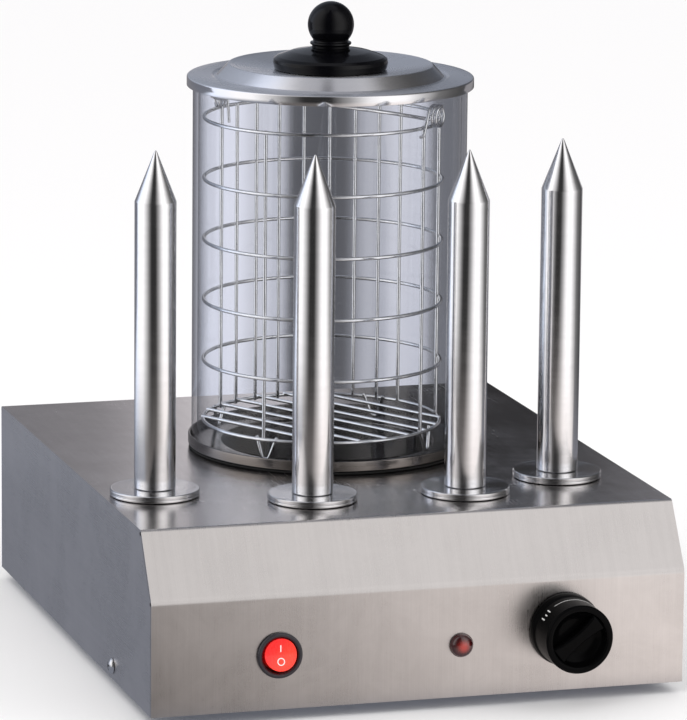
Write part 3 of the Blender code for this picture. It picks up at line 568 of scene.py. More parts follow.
def lathe_mesh(name, profile, steps=96, closed=False):
    """Revolves (radius, height) in mm about z; run outward over the top, down the outer side."""
    verts, rows = [], []
    for radius, height in profile:
        if radius < 1e-6:
            rows.append([len(verts)] * steps)
            verts.append((0, 0, height * MM))
        else:
            rows.append(list(range(len(verts), len(verts) + steps)))
            for k in range(steps):
                angle = math.tau * k / steps
                verts.append((radius * MM * math.cos(angle), radius * MM * math.sin(angle),
                              height * MM))
    faces = []
    for top, low in list(zip(rows, rows[1:])) + ([(rows[-1], rows[0])] if closed else []):
        for k in range(steps):
            j = (k + 1) % steps
            quad = [top[k], low[k], low[j], top[j]]
            quad = [v for i, v in enumerate(quad) if v != quad[i - 1]]
            if len(quad) > 2:
                faces.append(quad)
    mesh = raw_mesh(name, verts, faces)
    mesh.validate()
    return mesh


def lathe(name, profile, at, finish, body="housing", replaces=None, steps=96, closed=False,
          turn=None, sharp=38.0):
    mesh = lathe_mesh(name, profile, steps, closed)
    return add_part(name, mesh, finish, body, replaces, at, turn, sharp)


def tube_mesh(name, paths, radius=1.0, sides=12, closed=False):
    """Round wires (radius in mm) along lists of world points; open ends get a low dome."""
    verts, faces = [], []
    for path in paths:
        points = [Vector(p) for p in path]
        count = len(points)
        up = None
        rings = []
        for i, centre in enumerate(points):
            if closed:
                ahead = (points[(i + 1) % count] - points[i - 1]).normalized()
            else:
                ahead = (points[min(i + 1, count - 1)] - points[max(i - 1, 0)]).normalized()
            if up is None:
                up = ahead.orthogonal().normalized()
            up = (up - ahead * up.dot(ahead)).normalized()
            side = ahead.cross(up)
            rings.append(range(len(verts), len(verts) + sides))
            for k in range(sides):
                angle = math.tau * k / sides
                offset = (up * math.cos(angle) + side * math.sin(angle)) * radius * MM
                verts.append(centre + offset)
        spans = list(zip(rings, rings[1:])) + ([(rings[-1], rings[0])] if closed else [])
        for ring, following in spans:
            for k in range(sides):
                j = (k + 1) % sides
                faces.append([ring[k], ring[j], following[j], following[k]])
        if closed:
            continue
        for ring, end, inside in ((rings[0], points[0], points[1]),
                                  (rings[-1], points[-1], points[-2])):
            outward = (end - inside).normalized()
            tip = len(verts)
            verts.append(end + outward * radius * MM * 0.45)
            inner = range(len(verts), len(verts) + sides)
            for k in ring:
                verts.append(end + outward * radius * MM * 0.32 + (verts[k] - end) * 0.72)
            for k in range(sides):
                j = (k + 1) % sides
                faces.append([ring[k], ring[j], inner[j], inner[k]])
                faces.append([inner[k], inner[j], tip])
    return solid_mesh(name, verts, faces)


def prism_mesh(name, outline, low, high, plane="YZ", bevel=0.0, steps=3):
    """An outline in mm of the housing's frame, run from low to high along the other axis."""
    order = {"YZ": (2, 0, 1), "XZ": (0, 2, 1), "XY": (0, 1, 2)}[plane]
    bm = bmesh.new()
    start, end = [[bm.verts.new(point(*[(u, v, along)[i] for i in order])) for u, v in outline]
                  for along in (low, high)]
    bm.faces.new(start)
    bm.faces.new(list(reversed(end)))
    for i in range(len(outline)):
        j = (i + 1) % len(outline)
        bm.faces.new([start[j], start[i], end[i], end[j]])
    bmesh.ops.recalc_face_normals(bm, faces=bm.faces)
    if bevel:
        edges = [e for e in bm.edges if e.calc_face_angle(0) > 0.5]
        bmesh.ops.bevel(bm, geom=edges, offset=bevel * MM, segments=steps, profile=0.5,
                        affect="EDGES", clamp_overlap=True)
    mesh = bpy.data.meshes.new(name)
    bm.to_mesh(mesh)
    bm.free()
    return mesh


def box_mesh(low, high, bevel=0.0, name="box"):
    return prism_mesh(name, rectangle(low, high), low[2], high[2], "XY", bevel)


def bevel_edges(mesh, chosen, width, steps):
    """Rounds the edges for which chosen(edge) holds."""
    bm = bmesh.new()
    bm.from_mesh(mesh)
    bmesh.ops.bevel(bm, geom=[e for e in bm.edges if chosen(e)], offset=width * MM,
                    segments=steps, profile=0.5, affect="EDGES", clamp_overlap=True)
    bm.to_mesh(mesh)
    bm.free()


def carve(mesh, others, operation="DIFFERENCE"):
    """Boolean of a mesh with a list of meshes, returned as one mesh."""
    def temporary(data):
        obj = bpy.data.objects.new("temporary", data)
        bpy.context.scene.collection.objects.link(obj)
        return obj

    target = temporary(mesh)
    tools = []
    for other in others:
        tools.append(temporary(other))
        modifier = target.modifiers.new("boolean", "BOOLEAN")
        modifier.operation, modifier.solver, modifier.object = operation, "EXACT", tools[-1]
    bpy.context.view_layer.update()
    evaluated = target.evaluated_get(bpy.context.evaluated_depsgraph_get())
    made = bpy.data.meshes.new_from_object(evaluated)
    for obj in tools + [target]:
        bpy.data.objects.remove(obj, do_unlink=True)
    return made


def cylinder(radius, length, at, turn=UPRIGHT, steps=40):
    half = length / 2
    mesh = lathe_mesh("cylinder", [(0, half), (radius, half), (radius, -half), (0, -half)], steps)
    mesh.transform(Matrix.Translation(at) @ turn)
    return mesh


def rear_screw_holes(length):
    return [cylinder(SCREW_HOLE, length, point(x, DEPTH, z), FORWARD, 20)
            for _, x, z in REAR_SCREWS]


# ================================================================ housing sheet
def side_outline(inset, low):
    """The housing's side profile as (y, z), moved inwards by inset, with its foot at low."""
    rise = DECK - FRONT_TOP
    length = math.hypot(SLOPE_RUN, rise)
    slope_y, slope_z = rise / length * inset, -SLOPE_RUN / length * inset
    lower_z = FRONT_TOP + slope_z + (inset - slope_y) * rise / SLOPE_RUN
    upper_y = slope_y + (DECK - inset - FRONT_TOP - slope_z) * SLOPE_RUN / rise
    return [(inset, low), (inset, lower_z), (upper_y, DECK - inset),
            (DEPTH - inset, DECK - inset), (DEPTH - inset, low)]


def folded(name, outline, half, edge_radius, steps):
    """A side profile run across the width, with the deck's long edges rolled over."""
    mesh = prism_mesh(name, outline, -half, half)
    top = max(v.co.z for v in mesh.vertices)

    def long_top_edge(edge):
        return (all(abs(v.co.z - top) < 1e-6 for v in edge.verts)
                and abs(edge.verts[0].co.x - edge.verts[1].co.x) < 1e-6)

    bevel_edges(mesh, long_top_edge, edge_radius, steps)
    return mesh


def corner_seam(side):
    """The seam at the front of one side, with a round relief hole at each of its two bends."""
    gap = 0.45
    lean = math.atan2(SLOPE_RUN, DECK - FRONT_TOP)
    lower, upper = side_outline(SHEET, 0)[1:3]
    edge = side * HALF_WIDTH
    x0, x1 = sorted((edge - side * (SHEET + 0.3), edge + side * 1.0))
    slit = [(SHEET, -2), (SHEET, lower[1]), (upper[0], upper[1] - 0.6),
            (upper[0] + gap / math.cos(lean), upper[1] - 0.6),
            (SHEET + gap, lower[1] - gap * math.tan(lean / 2)), (SHEET + gap, -2)]
    x = (x0 + x1) / 2
    return [prism_mesh("slit", slit, x0, x1),
            cylinder(1.15, 3.6, point(x, SHEET + 0.7, FRONT_TOP - 1.0), LEFTWARD, 20),
            cylinder(1.25, 3.6, point(x, upper[0] + 0.5, DECK - 2.2), LEFTWARD, 20)]


def housing_sheet():
    outer = folded("outer", fillet(side_outline(0, 0), [0, 6.5, 2.6, 1.2, 0], 8), HALF_WIDTH,
                   edge_radius=2.2, steps=6)
    inner = folded("inner", fillet(side_outline(SHEET, -6), [0, 5.3, 1.4, 0.4, 0], 6),
                   HALF_WIDTH - SHEET, edge_radius=1.0, steps=4)
    back_opening = box_mesh((-130, DEPTH - 5, -6), (130, DEPTH + 5, 82))
    cuts = [inner, back_opening, cylinder(66.0, 12, point(GLASS_X, GLASS_Y, DECK), steps=72)]
    cuts += [cylinder(8.6, 10, point(x, y, DECK), steps=24) for x, y in SPIKES.values()]
    # front holes: radius, x, z, steps
    for radius, x, z, steps in ((10.35, SWITCH_X, SWITCH_Z, 48), (5.3, LAMP_X, LAMP_Z, 32),
                                (5.1, DIAL_X, DIAL_Z, 24)):
        cuts.append(cylinder(radius, 10, point(x, 0, z), FORWARD, steps))
    for side in (-1, 1):
        cuts += corner_seam(side)
    for side in (-1, 1):
        at = point(side * HALF_WIDTH, SIDE_SCREW_Y, SIDE_SCREW_Z)
        cuts.append(cylinder(SCREW_HOLE, 8, at, LEFTWARD, 20))
    cuts += rear_screw_holes(8)
    weigh_normals(add_part("housing_sheet", carve(outer, cuts), "shell",
                           replaces="housing_shell", sharp=32))


housing_sheet()


# ================================================================ rear panel
def rear_panel():
    cuts = [box_mesh((LOUVRE_X[0], DEPTH - 5, z - 1.6), (LOUVRE_X[1], DEPTH + 6, z + 1.6))
            for z in LOUVRE_Z]
    cuts.append(box_mesh((INLET_X - 14.6, DEPTH - 5, INLET_Z - 10.6),
                         (INLET_X + 14.6, DEPTH + 6, INLET_Z + 10.6)))
    cuts += rear_screw_holes(12)
    outline = fillet(rectangle((-140, 3), (140, 90)), 2.5, 5, closed=True)
    panel = prism_mesh("panel", outline, PANEL_Y, PANEL_BACK, "XZ", bevel=0.25, steps=2)
    weigh_normals(add_part("rear_panel_sheet", carve(panel, cuts), "rear",
                           replaces="rear_panel", sharp=32))


def louvre_hood(name, slot_z):
    """A pressed quarter-round hood, closed at both ends, as an outer and an inner layer."""
    steps, across = 8, 26
    out_reach, rise = 1.9, 3.2
    x0, x1 = LOUVRE_X
    verts, faces = [], []
    for j in range(across + 1):
        u = j / across
        bulge = math.sqrt(max(0.0, 1 - abs(2 * u - 1) ** 6))
        for i in range(steps + 1):
            angle = math.pi / 2 * i / steps
            out, up = out_reach * math.cos(angle) * bulge, rise * math.sin(angle)
            for out_part, up_part in ((1.0, 1.0), (0.72, 0.9)):
                verts.append(point(x0 + (x1 - x0) * u, PANEL_BACK - 0.15 + out * out_part,
                                   slot_z - 1.4 + up * up_part))

    def index(j, i, layer):
        return (j * (steps + 1) + i) * 2 + layer

    for j in range(across):
        for i in range(steps):
            for layer in (0, 1):
                quad = [index(j, i, layer), index(j + 1, i, layer),
                        index(j + 1, i + 1, layer), index(j, i + 1, layer)]
                faces.append(quad[::-1] if layer else quad)
        for i in (0, steps):
            quad = [index(j, i, 0), index(j + 1, i, 0), index(j + 1, i, 1), index(j, i, 1)]
            faces.append(quad if i else quad[::-1])
    for j in (0, across):
        for i in range(steps):
            quad = [index(j, i, 0), index(j, i, 1), index(j, i + 1, 1), index(j, i + 1, 0)]
            faces.append(quad if j else quad[::-1])
    add_part(name, solid_mesh("hood", verts, faces), "rear", sharp=40)


rear_panel()
for row, row_z in enumerate(LOUVRE_Z):
    louvre_hood("louvre_hood_%d" % (row + 1), row_z)


# ================================================================ screws and feet
def screw(name, at, turn, radius, height, node, spin):
    """A domed cross-recess screw; radius and height are the head's, spin turns its cross."""
    dome = [(radius * math.sin(a), height * math.cos(a))
            for a in [math.pi / 2 * i / 9 for i in range(10)]]
    shank = [(radius - 0.15, -0.12), (2.0, -0.12), (2.0, -9.0), (1.4, -9.8), (0, -9.8)]
    slots = []
    for quarter in (0, 90):
        slot = box_mesh((-radius * 0.52, -0.45, height - 1.3), (radius * 0.52, 0.45, height + 2))
        slot.transform(Matrix.Rotation(math.radians(quarter + spin), 4, "Z") @ TO_ORIGIN)
        slots.append(slot)
    mesh = carve(lathe_mesh(name, dome + shank, 40), slots)
    add_part(name, mesh, "screw", replaces=node, at=at, turn=turn, sharp=34)


for i, (key, side, facing) in enumerate((("left_front", -1, LEFTWARD),
                                         ("right_front", 1, RIGHTWARD))):
    screw("side_screw_head_" + key,
          point(side * (HALF_WIDTH + 0.3), SIDE_SCREW_Y, SIDE_SCREW_Z), facing,
          radius=4.25, height=2.3, node="side_screw_" + key, spin=20 + 37 * i)
for i, (key, x, z) in enumerate(REAR_SCREWS):
    screw("rear_screw_head_" + key, point(x, PANEL_BACK + 0.3, z), BACKWARD,
          radius=4.0, height=2.2, node="rear_screw_" + key, spin=10 + 29 * i)

# a plug above the sheet's edge, a groove for the sheet and a tapered pad down to the table
FOOT_PROFILE = fillet([(0, 4.2), (5.0, 4.2), (5.0, 1.8), (3.6, 1.8), (3.6, 0.0), (11.0, 0.0),
                       (10.2, -FOOT_HEIGHT), (4.2, -FOOT_HEIGHT), (3.6, -4.0), (0, -4.0)],
                      [0, .6, .4, .3, .3, .9, .9, .3, .3, 0], 4)
for key, x, y in (("front_left", -97.5, 45), ("front_right", 97.5, 45),
                  ("rear_left", -97.5, 287.5), ("rear_right", 97.5, 287.5)):
    lathe("rubber_foot_" + key, FOOT_PROFILE, point(x, y, 0), "rubber",
          replaces="foot_" + key, steps=48)

# ================================================================ steam unit
# Profiles are (radius, height) about the glass's axis, each with its fillet radii below.
STEAM_AT = point(GLASS_X, GLASS_Y, 0)

pan = fillet([(0, 39), (55.4, 39), (57, 41.6), (57, 94), (65, 94),
              (65, 93.1), (58, 93.1), (58, 40.6), (55.8, 38), (0, 38)],
             [0, 2, 1.2, .6, .2, .2, 1.2, 1.2, 2, 0], 4)
lathe("pan_drawn", pan, STEAM_AT, "pan", replaces="water_pan", steps=120)

seal = fillet([(67, 94), (75, 94), (75, 92.8), (67, 92.8)], .35, 3, closed=True)
lathe("seat_seal", seal, STEAM_AT, "gasket", replaces="seat_gasket", steps=120, closed=True)

collar = fillet([(74.1, 99.9), (75.4, 99.9), (75.4, 94.3), (57.3, 94.3), (57.3, 95.8),
                 (74.1, 95.8)], [.45, .6, .9, .5, .5, .5], 4, closed=True)
lathe("seat_collar", collar, STEAM_AT, "seat", replaces="seat_ring", steps=144, closed=True)

glass_wall = fillet([(70.6, 294.2), (73.6, 294.2), (73.6, 96.1), (70.6, 96.1)], .9, 4,
                    closed=True)
lathe("glass_tube", glass_wall, STEAM_AT, "glass", body="steam_glass",
      replaces="glass_cylinder", steps=160, closed=True)

LID_RIM = 295.4
LID_HOLE = 2.8
lid_outer = fillet([(LID_HOLE, 298.6), (31.5, 298.6), (51.6, 301.05), (54.6, 301.75),
                    (60.7, LID_RIM - .05), (62.1, LID_RIM - .7), (63.7, LID_RIM),
                    (70.5, LID_RIM + .1), (76.9, LID_RIM - .25), (76.9, LID_RIM - 5.4)],
                   [0, 60, 14, 1.5, .5, .5, .8, 20, 1.1, 0], 6)
lid_hem = [(76.75, LID_RIM - 5.6), (76.25, LID_RIM - 5.6)]
lid_inner = fillet([(76.1, LID_RIM - 5.4), (76.1, LID_RIM - 1.05), (70.5, LID_RIM - .7),
                    (63.8, LID_RIM - .8), (62.1, LID_RIM - 1.5), (60.4, LID_RIM - .9),
                    (54.4, 300.85), (51.8, 300.2), (31.6, 297.8), (LID_HOLE, 297.8)],
                   [0, .5, 20, .5, .4, .4, .8, 10, 60, 0], 4)
lathe("lid_spun", lid_outer + lid_hem + lid_inner, STEAM_AT, "lid", body="lid",
      replaces="lid_plate", steps=160, closed=True)

knob_base = fillet([(LID_HOLE, 310.1), (11.0, 310.05), (21.0, 308.3), (28.6, 305.6),
                    (30.4, 304.3), (30.85, 302.4), (30.3, 299.9), (29.9, 298.9),
                    (LID_HOLE, 298.9)],
                   [0, 3, 14, 1.6, .9, 1.2, .6, .3, 0], 7, closed=True)
lathe("knob_base", knob_base, STEAM_AT, "gloss", body="lid", replaces="lid_knob_base",
      closed=True, sharp=55)

BALL_RADIUS, BALL_Z, BALL_FOOT = 12.4, 322.6, 9.6      # BALL_FOOT: radius where the neck begins
ball_end = -math.acos(BALL_FOOT / BALL_RADIUS)
ball = [(BALL_RADIUS * math.cos(a), BALL_Z + BALL_RADIUS * math.sin(a))
        for a in [math.pi / 2 + (ball_end - math.pi / 2) * i / 24 for i in range(25)]]
neck = fillet([ball[-1], (9.45, 313.6), (10.9, 313.3), (11.1, 312.5), (10.7, 311.9),
               (10.0, 311.7), (10.0, 310.15), (LID_HOLE, 310.15), (LID_HOLE, 320.0), (0, 321.5)],
              [0, .3, .4, .4, .3, .3, .2, .2, .2, 0], 4)
lathe("knob_ball", ball[:-1] + neck, STEAM_AT, "gloss", body="lid", replaces="lid_knob_ball",
      steps=72, sharp=50)

# ================================================================ wire basket
PIVOT_ANGLE = math.radians(-45.4)       # from the basket's axis to the front-right eyelet
SPACES = 28                             # upright positions round the basket
HOOP_RADIUS, HOOPS, HOOP_PITCH = 64.0, 6, 33.0
LOW_HOOP = 107.7
TOP_HOOP = LOW_HOOP + (HOOPS - 1) * HOOP_PITCH
PIVOT_Z = 276.9
PIVOT_AT = point(BASKET_X, BASKET_Y, PIVOT_Z)
UP = Vector((0, 0, 1))
OUT = Vector((math.cos(PIVOT_ANGLE), math.sin(PIVOT_ANGLE), 0))     # along the pivot line
SIDE = Vector((-OUT.y, OUT.x, 0))


def on_basket(angle, z, radius=HOOP_RADIUS):
    return point(BASKET_X + radius * math.cos(angle), BASKET_Y + radius * math.sin(angle), z)


def by_space(space, z, radius):
    return on_basket(PIVOT_ANGLE + space * math.tau / SPACES, z, radius)


def add_wires(name, paths, radius=1.0):
    add_part(name, tube_mesh(name, paths, radius), "wire", "basket_unit")


hoops = [[on_basket(math.tau * k / 120, LOW_HOOP + HOOP_PITCH * i) for k in range(120)]
         for i in range(HOOPS)]
add_part("basket_hoops", tube_mesh("basket_rings", hoops, closed=True), "wire", "basket_unit",
         replaces="basket")

add_wires("basket_uprights",
          [[by_space(space, z, 63.0)
            for z in (LOW_HOOP - 0.9, LOW_HOOP + 60, LOW_HOOP + 110, TOP_HOOP + 0.7)]
           for space in (-0.3, 3, *range(6, 15), 21)])


def basket_floor():
    """Seven parallel wires from hoop to hoop."""
    direction = math.radians(-60.0)
    along = Vector((math.cos(direction), math.sin(direction), 0))
    across = Vector((-along.y, along.x, 0))
    wires = []
    for i in range(7):
        offset = (i - 3) * 15.0
        half = math.sqrt(HOOP_RADIUS ** 2 - offset ** 2) + 0.4
        centre = point(BASKET_X, BASKET_Y, LOW_HOOP + 0.7) + across * offset * MM
        wires.append([centre - along * half * MM, centre, centre + along * half * MM])
    add_wires("basket_floor", wires)


def basket_legs():
    """Four V-shaped legs under the lowest hoop."""
    # half a leg from the hoop down: spaces from its middle, z, radius
    half = [(.42, LOW_HOOP + 1.2, 62.6), (.36, LOW_HOOP - 1, 62.8), (.15, 98.2, 63.6),
            (.08, 97.3, 63.7)]
    legs = []
    for quarter in range(4):
        space = SPACES * quarter / 4 + 0.11
        legs.append([by_space(space - d, z, radius) for d, z, radius in half]
                    + [by_space(space + d, z, radius) for d, z, radius in reversed(half)])
    add_wires("basket_legs", legs)


def shift(out, side, up):
    return (OUT * out + SIDE * side + UP * up) * MM


def coil(centre, end, start, turns, begin, travel, radius):
    """Wire wound round the pivot line at its front-right (end 1) or back-left (end -1) side,
    starting at begin mm from the basket's axis and moving outwards by travel."""
    points, steps = [], 54
    for k in range(steps + 1):
        angle = math.radians(start) - math.tau * turns * k / steps
        points.append(centre + OUT * (end * (begin + travel * k / steps)) * MM
                      + (SIDE * (end * math.cos(angle)) + UP * math.sin(angle)) * radius * MM)
    return points


def basket_eyelets():
    back = coil(PIVOT_AT, end=-1, start=200, turns=2.25, begin=61.6, travel=4.4, radius=3.9)
    first, last = back[0], back[-1]
    back_wire = ([first + shift(0, 1.6, -11.5), first + shift(0, 0.7, -4)] + back
                 + [last + shift(1, -1.2, -3.0), last + shift(2.2, -3.4, -5.6)])
    # the front coil's inner end runs steeply down outside the top hoop and hooks under it
    front = coil(PIVOT_AT + UP * 2.1 * MM, end=1, start=165, turns=2.2, begin=66.0, travel=5.2,
                 radius=5.5)
    # out from the basket's axis, sideways, height
    hook = [(63.4, -9.3, 268.3), (64.6, -9.2, 268.5), (65.5, -8.9, 269.6), (65.6, -8.3, 271.5),
            (65.9, -6.8, 276.0)]
    front_wire = [PIVOT_AT + shift(out, side, z - PIVOT_Z) for out, side, z in hook] + front
    add_wires("basket_eyelets", [back_wire, front_wire], radius=0.85)


def handle():
    """A half hoop folded down to the front left; its ends run out through the eyelets."""
    tilt = math.radians(12.6)
    rise = Vector((OUT.y, -OUT.x, 0)) * math.cos(tilt) + UP * math.sin(tilt)
    radius, pinch, pinch_width = 60.0, 0.010, 0.16     # drawn in slightly near both ends
    hoop = []
    for k in range(49):
        angle = math.pi * k / 48
        bend = (1.0 - pinch * math.exp(-((angle / pinch_width) ** 2))
                - pinch * math.exp(-(((math.pi - angle) / pinch_width) ** 2)))
        arm = OUT * math.cos(angle) + rise * math.sin(angle)
        hoop.append(PIVOT_AT + arm * radius * bend * MM)
    path = ([PIVOT_AT + OUT * out * MM for out in (70.0, 65.0, 60.6)] + hoop[1:-1]
            + [PIVOT_AT - OUT * out * MM for out in (60.6, 63.0, 66.0)])
    add_part("handle_wire", tube_mesh("handle_wire", [path], sides=14), "bail", "bail",
             replaces="basket_handle")


basket_floor()
basket_legs()
basket_eyelets()
handle()

# ================================================================ spikes
TIP = DECK + 181.0
SHOULDER = TIP - 26.4
FLANGE_LOW = DECK + 0.3
FLANGE_TOP = FLANGE_LOW + 3.6
SPIKE_SEAT = FLANGE_TOP + 0.3

# a pointed tube, hollow from below; (radius, height)
SPIKE_PROFILE = fillet([(0, TIP), (0.5, TIP - 0.25), (1.1, TIP - 1.6), (10.8, SHOULDER),
                        (10.8, SPIKE_SEAT), (7.9, SPIKE_SEAT), (7.9, 72), (6.4, 72), (6.4, 238),
                        (0, 241)], [0, .2, 1.2, 1.0, .35, .2, .3, .2, .5, 0], 5)
# the flange's top is cut with twelve shallow concentric grooves, four points to each
GROOVES = [(11.6 + 0.225 * i, FLANGE_TOP - 0.022 * (1.0 - math.cos(math.tau * i / 4)))
           for i in range(1, 49)]
FLANGE_PROFILE = fillet(
    [(8.4, FLANGE_TOP - .05), (11.6, FLANGE_TOP)] + GROOVES
    + [(23.0, FLANGE_TOP), (23.4, FLANGE_TOP - .4), (23.4, FLANGE_TOP - 1.55),
       (22.9, FLANGE_TOP - 1.75), (22.9, FLANGE_TOP - 2.0), (23.4, FLANGE_TOP - 2.2),
       (23.4, FLANGE_LOW + .35), (23.0, FLANGE_LOW), (8.4, FLANGE_LOW)],
    [.1, 0] + [0] * len(GROOVES) + [.15, .2, .15, .05, .05, .15, .2, .2, .1], 3, closed=True)
for key, (x, y) in SPIKES.items():
    lathe("spike_turned_" + key, SPIKE_PROFILE, point(x, y, 0), "spike",
          replaces="spike_" + key, sharp=26)
    lathe("flange_turned_" + key, FLANGE_PROFILE, point(x, y, 0), "flange",
          replaces="spike_flange_" + key, closed=True, sharp=30)

# ================================================================ rocker switch and lamp
# Front pieces are turned about their own z, which points forward.
bezel = fillet([(0, -8.8), (9.45, -8.8), (9.45, 1.6), (10.3, 2.15), (11.3, 2.2), (11.95, 1.4),
                (11.95, .3), (10.0, .3), (10.0, -22), (0, -22)],
               [0, .3, .5, .6, .5, .6, .2, .2, .6, 0], 5)
weigh_normals(lathe("switch_bezel", bezel, point(SWITCH_X, 0, SWITCH_Z), "switch",
                    replaces="switch_body", steps=80, turn=FORWARD, sharp=45))

PADDLE_AT = point(SWITCH_X, 2.5, SWITCH_Z)
PADDLE_TURN = Matrix.Rotation(math.radians(-8.0), 4, "X") @ FORWARD
PADDLE_SLOPE = math.tan(math.radians(8))


def paddle_height(v):
    """Height of the V-shaped face, v mm above its fold."""
    return 5.8 - 0.9 + abs(v) * PADDLE_SLOPE


def on_paddle(u, v, lift):
    return (u * MM, v * MM, (paddle_height(v) + lift) * MM)


def add_mark(name, mesh):
    add_part(name, mesh, "mark", "rocker", at=PADDLE_AT, turn=PADDLE_TURN)


def paddle_valley():
    """The solid in front of the paddle's V face, whose fold is slightly raised."""
    count = 45
    face = []
    for k in range(count):
        v = -11 + 22 * k / (count - 1)
        face.append((v, paddle_height(v) + 0.9 * math.exp(-(v / 0.9) ** 2) * 0.12))
    verts = []
    for x in (-12, 12):
        verts += [(x * MM, v * MM, height * MM) for v, height in face]
        verts += [(x * MM, v * MM, 16 * MM) for v, _ in face]
    low = [range(start, start + count) for start in (0, 2 * count)]
    top = [range(start, start + count) for start in (count, 3 * count)]
    faces = []
    for k in range(count - 1):
        faces.append([low[0][k], low[1][k], low[1][k + 1], low[0][k + 1]])
        faces.append([top[0][k], top[0][k + 1], top[1][k + 1], top[1][k]])
        for end in (0, 1):
            quad = [low[end][k], low[end][k + 1], top[end][k + 1], top[end][k]]
            faces.append(quad[::-1] if end else quad)
    for k in (0, count - 1):
        faces.append([low[0][k], top[0][k], top[1][k], low[1][k]])
    return solid_mesh("valley", verts, faces)


def rocker_paddle():
    profile = fillet([(0, 7.0), (7.7, 7.0), (8.4, 6.0), (8.4, -3.6), (0, -3.6)],
                     [0, .1, .1, .4, 0], 4)
    mesh = carve(lathe_mesh("paddle", profile, 72), [paddle_valley()])
    obj = add_part("rocker_paddle", mesh, "red", "rocker", "switch_rocker", PADDLE_AT,
                   PADDLE_TURN, 30)
    edge = obj.modifiers.new("edge", "BEVEL")
    edge.width, edge.segments = 0.35 * MM, 3
    edge.limit_method, edge.angle_limit = "ANGLE", math.radians(40)


def bar_mark():
    """The upright bar on the upper half."""
    corners = rectangle((-.28, 1.5), (.28, 5.0))
    verts = [on_paddle(u, v, lift) for lift in (-0.15, 0.07) for u, v in corners]
    faces = [[4, 5, 6, 7], [3, 2, 1, 0]]
    for i in range(4):
        j = (i + 1) % 4
        faces.append([i, j, 4 + j, 4 + i])
    add_mark("rocker_mark_on", solid_mesh("mark_on", verts, faces))


def ring_mark():
    """The ring on the lower half."""
    around_steps, section_steps = 40, 8
    ring_radius, half_line, half_height, centre_v = 1.75, 0.27, 0.09, -3.5
    verts, faces = [], []
    for k in range(around_steps):
        turn = math.tau * k / around_steps
        for s in range(section_steps):
            angle = math.tau * s / section_steps
            radius = ring_radius + half_line * math.cos(angle)
            verts.append(on_paddle(radius * math.cos(turn), centre_v + radius * math.sin(turn),
                                   half_height * math.sin(angle)))
    for k in range(around_steps):
        row, following = k * section_steps, (k + 1) % around_steps * section_steps
        for s in range(section_steps):
            j = (s + 1) % section_steps
            faces.append([row + s, following + s, following + j, row + j])
    add_mark("rocker_mark_off", raw_mesh("mark_off", verts, faces))


rocker_paddle()
bar_mark()
ring_mark()

dome = [(6.0 * math.sin(a), 1.2 + 4.0 * math.cos(a))
        for a in [math.radians(90) * i / 16 for i in range(16)]]
dome += fillet([(6.0, 1.2), (6.3, 1.0), (6.3, .3), (0, .3)], [0, .2, .2, 0], 3)
lathe("lamp_dome", dome, point(LAMP_X, 0, LAMP_Z), "lamp", replaces="lamp_lens", steps=64,
      turn=FORWARD, sharp=50)

# ================================================================ thermostat knob
DIAL_FACE, DIAL_RADIUS = 25.5, 18.0
DIAL_AT = point(DIAL_X, 0, DIAL_Z)


def dial_grip():
    """The waisted bar across the cup, rounded at its front edge."""
    reach = 14.3
    edge = []
    for k in range(13):
        u = -reach + 2 * reach * k / 12
        edge.append((u, 3.1 + 1.9 * (abs(u) / reach) ** 2.2))
    outline = edge + [(u, -v) for u, v in reversed(edge)]
    grip = prism_mesh("grip", outline, -24.2, -14.0, "XZ")
    front = min(v.co.y for v in grip.vertices)
    bevel_edges(grip, lambda e: all(abs(v.co.y - front) < 1e-6 for v in e.verts),
                width=1.5, steps=6)
    for move in (TO_ORIGIN, Matrix.Rotation(math.radians(-38.0), 4, "Y"), FORWARD.inverted()):
        grip.transform(move)
    return grip


def dial_knob():
    cup = fillet([(0, 17.6), (10.0, 17.9), (13.7, 20.2), (14.7, DIAL_FACE - .5),
                  (15.6, DIAL_FACE), (17.2, DIAL_FACE), (DIAL_RADIUS, DIAL_FACE - .9),
                  (DIAL_RADIUS, 7.2), (18.7, 5.2), (19.0, 3.0), (19.0, .7), (3.4, .7),
                  (3.4, 16.6), (0, 16.6)],
                 [0, 5, 3, .5, .5, .6, .6, 2.0, 1.5, .5, .4, .2, .2, 0], 5)
    knob = carve(lathe_mesh("cup", cup, 120), [dial_grip()], "UNION")
    weigh_normals(add_part("dial_knob", knob, "dial", "dial", "thermostat_knob", DIAL_AT,
                           FORWARD, 36))


def skirt_band(name, start, end, near, far, steps, taper=False):
    """A thin print on the knob's skirt: degrees clockwise from the top, depths behind the face."""
    verts, faces = [], []
    for k in range(steps + 1):
        part = k / steps
        angle = math.radians(start + (end - start) * part)
        half = (far - near) / 2 * (0.35 + 0.65 * part if taper else 1.0)
        for radius in (DIAL_RADIUS - 0.1, DIAL_RADIUS + 0.06):
            for depth in ((near + far) / 2 - half, (near + far) / 2 + half):
                verts.append((radius * MM * math.sin(angle), radius * MM * math.cos(angle),
                              (DIAL_FACE - depth) * MM))
    for a in range(0, steps * 4, 4):
        b = a + 4
        faces += [[a + 2, a + 3, b + 3, b + 2], [a + 1, a, b, b + 1],
                  [a, a + 2, b + 2, b], [a + 3, a + 1, b + 1, b + 3]]
    last = steps * 4
    faces += [[0, 1, 3, 2], [last + 2, last + 3, last + 1, last]]
    add_part(name, solid_mesh(name, verts, faces), "print", "dial", at=DIAL_AT, turn=FORWARD)


dial_knob()
skirt_band("dial_print_arc", -33, 200, near=12.6, far=13.5, steps=110, taper=True)
for i, (start, far) in enumerate(((-62, 14.9), (-54, 13.6), (-46, 14.9))):
    skirt_band("dial_print_tick_%d" % (i + 1), start, start + 2.2, near=10.9, far=far, steps=3)


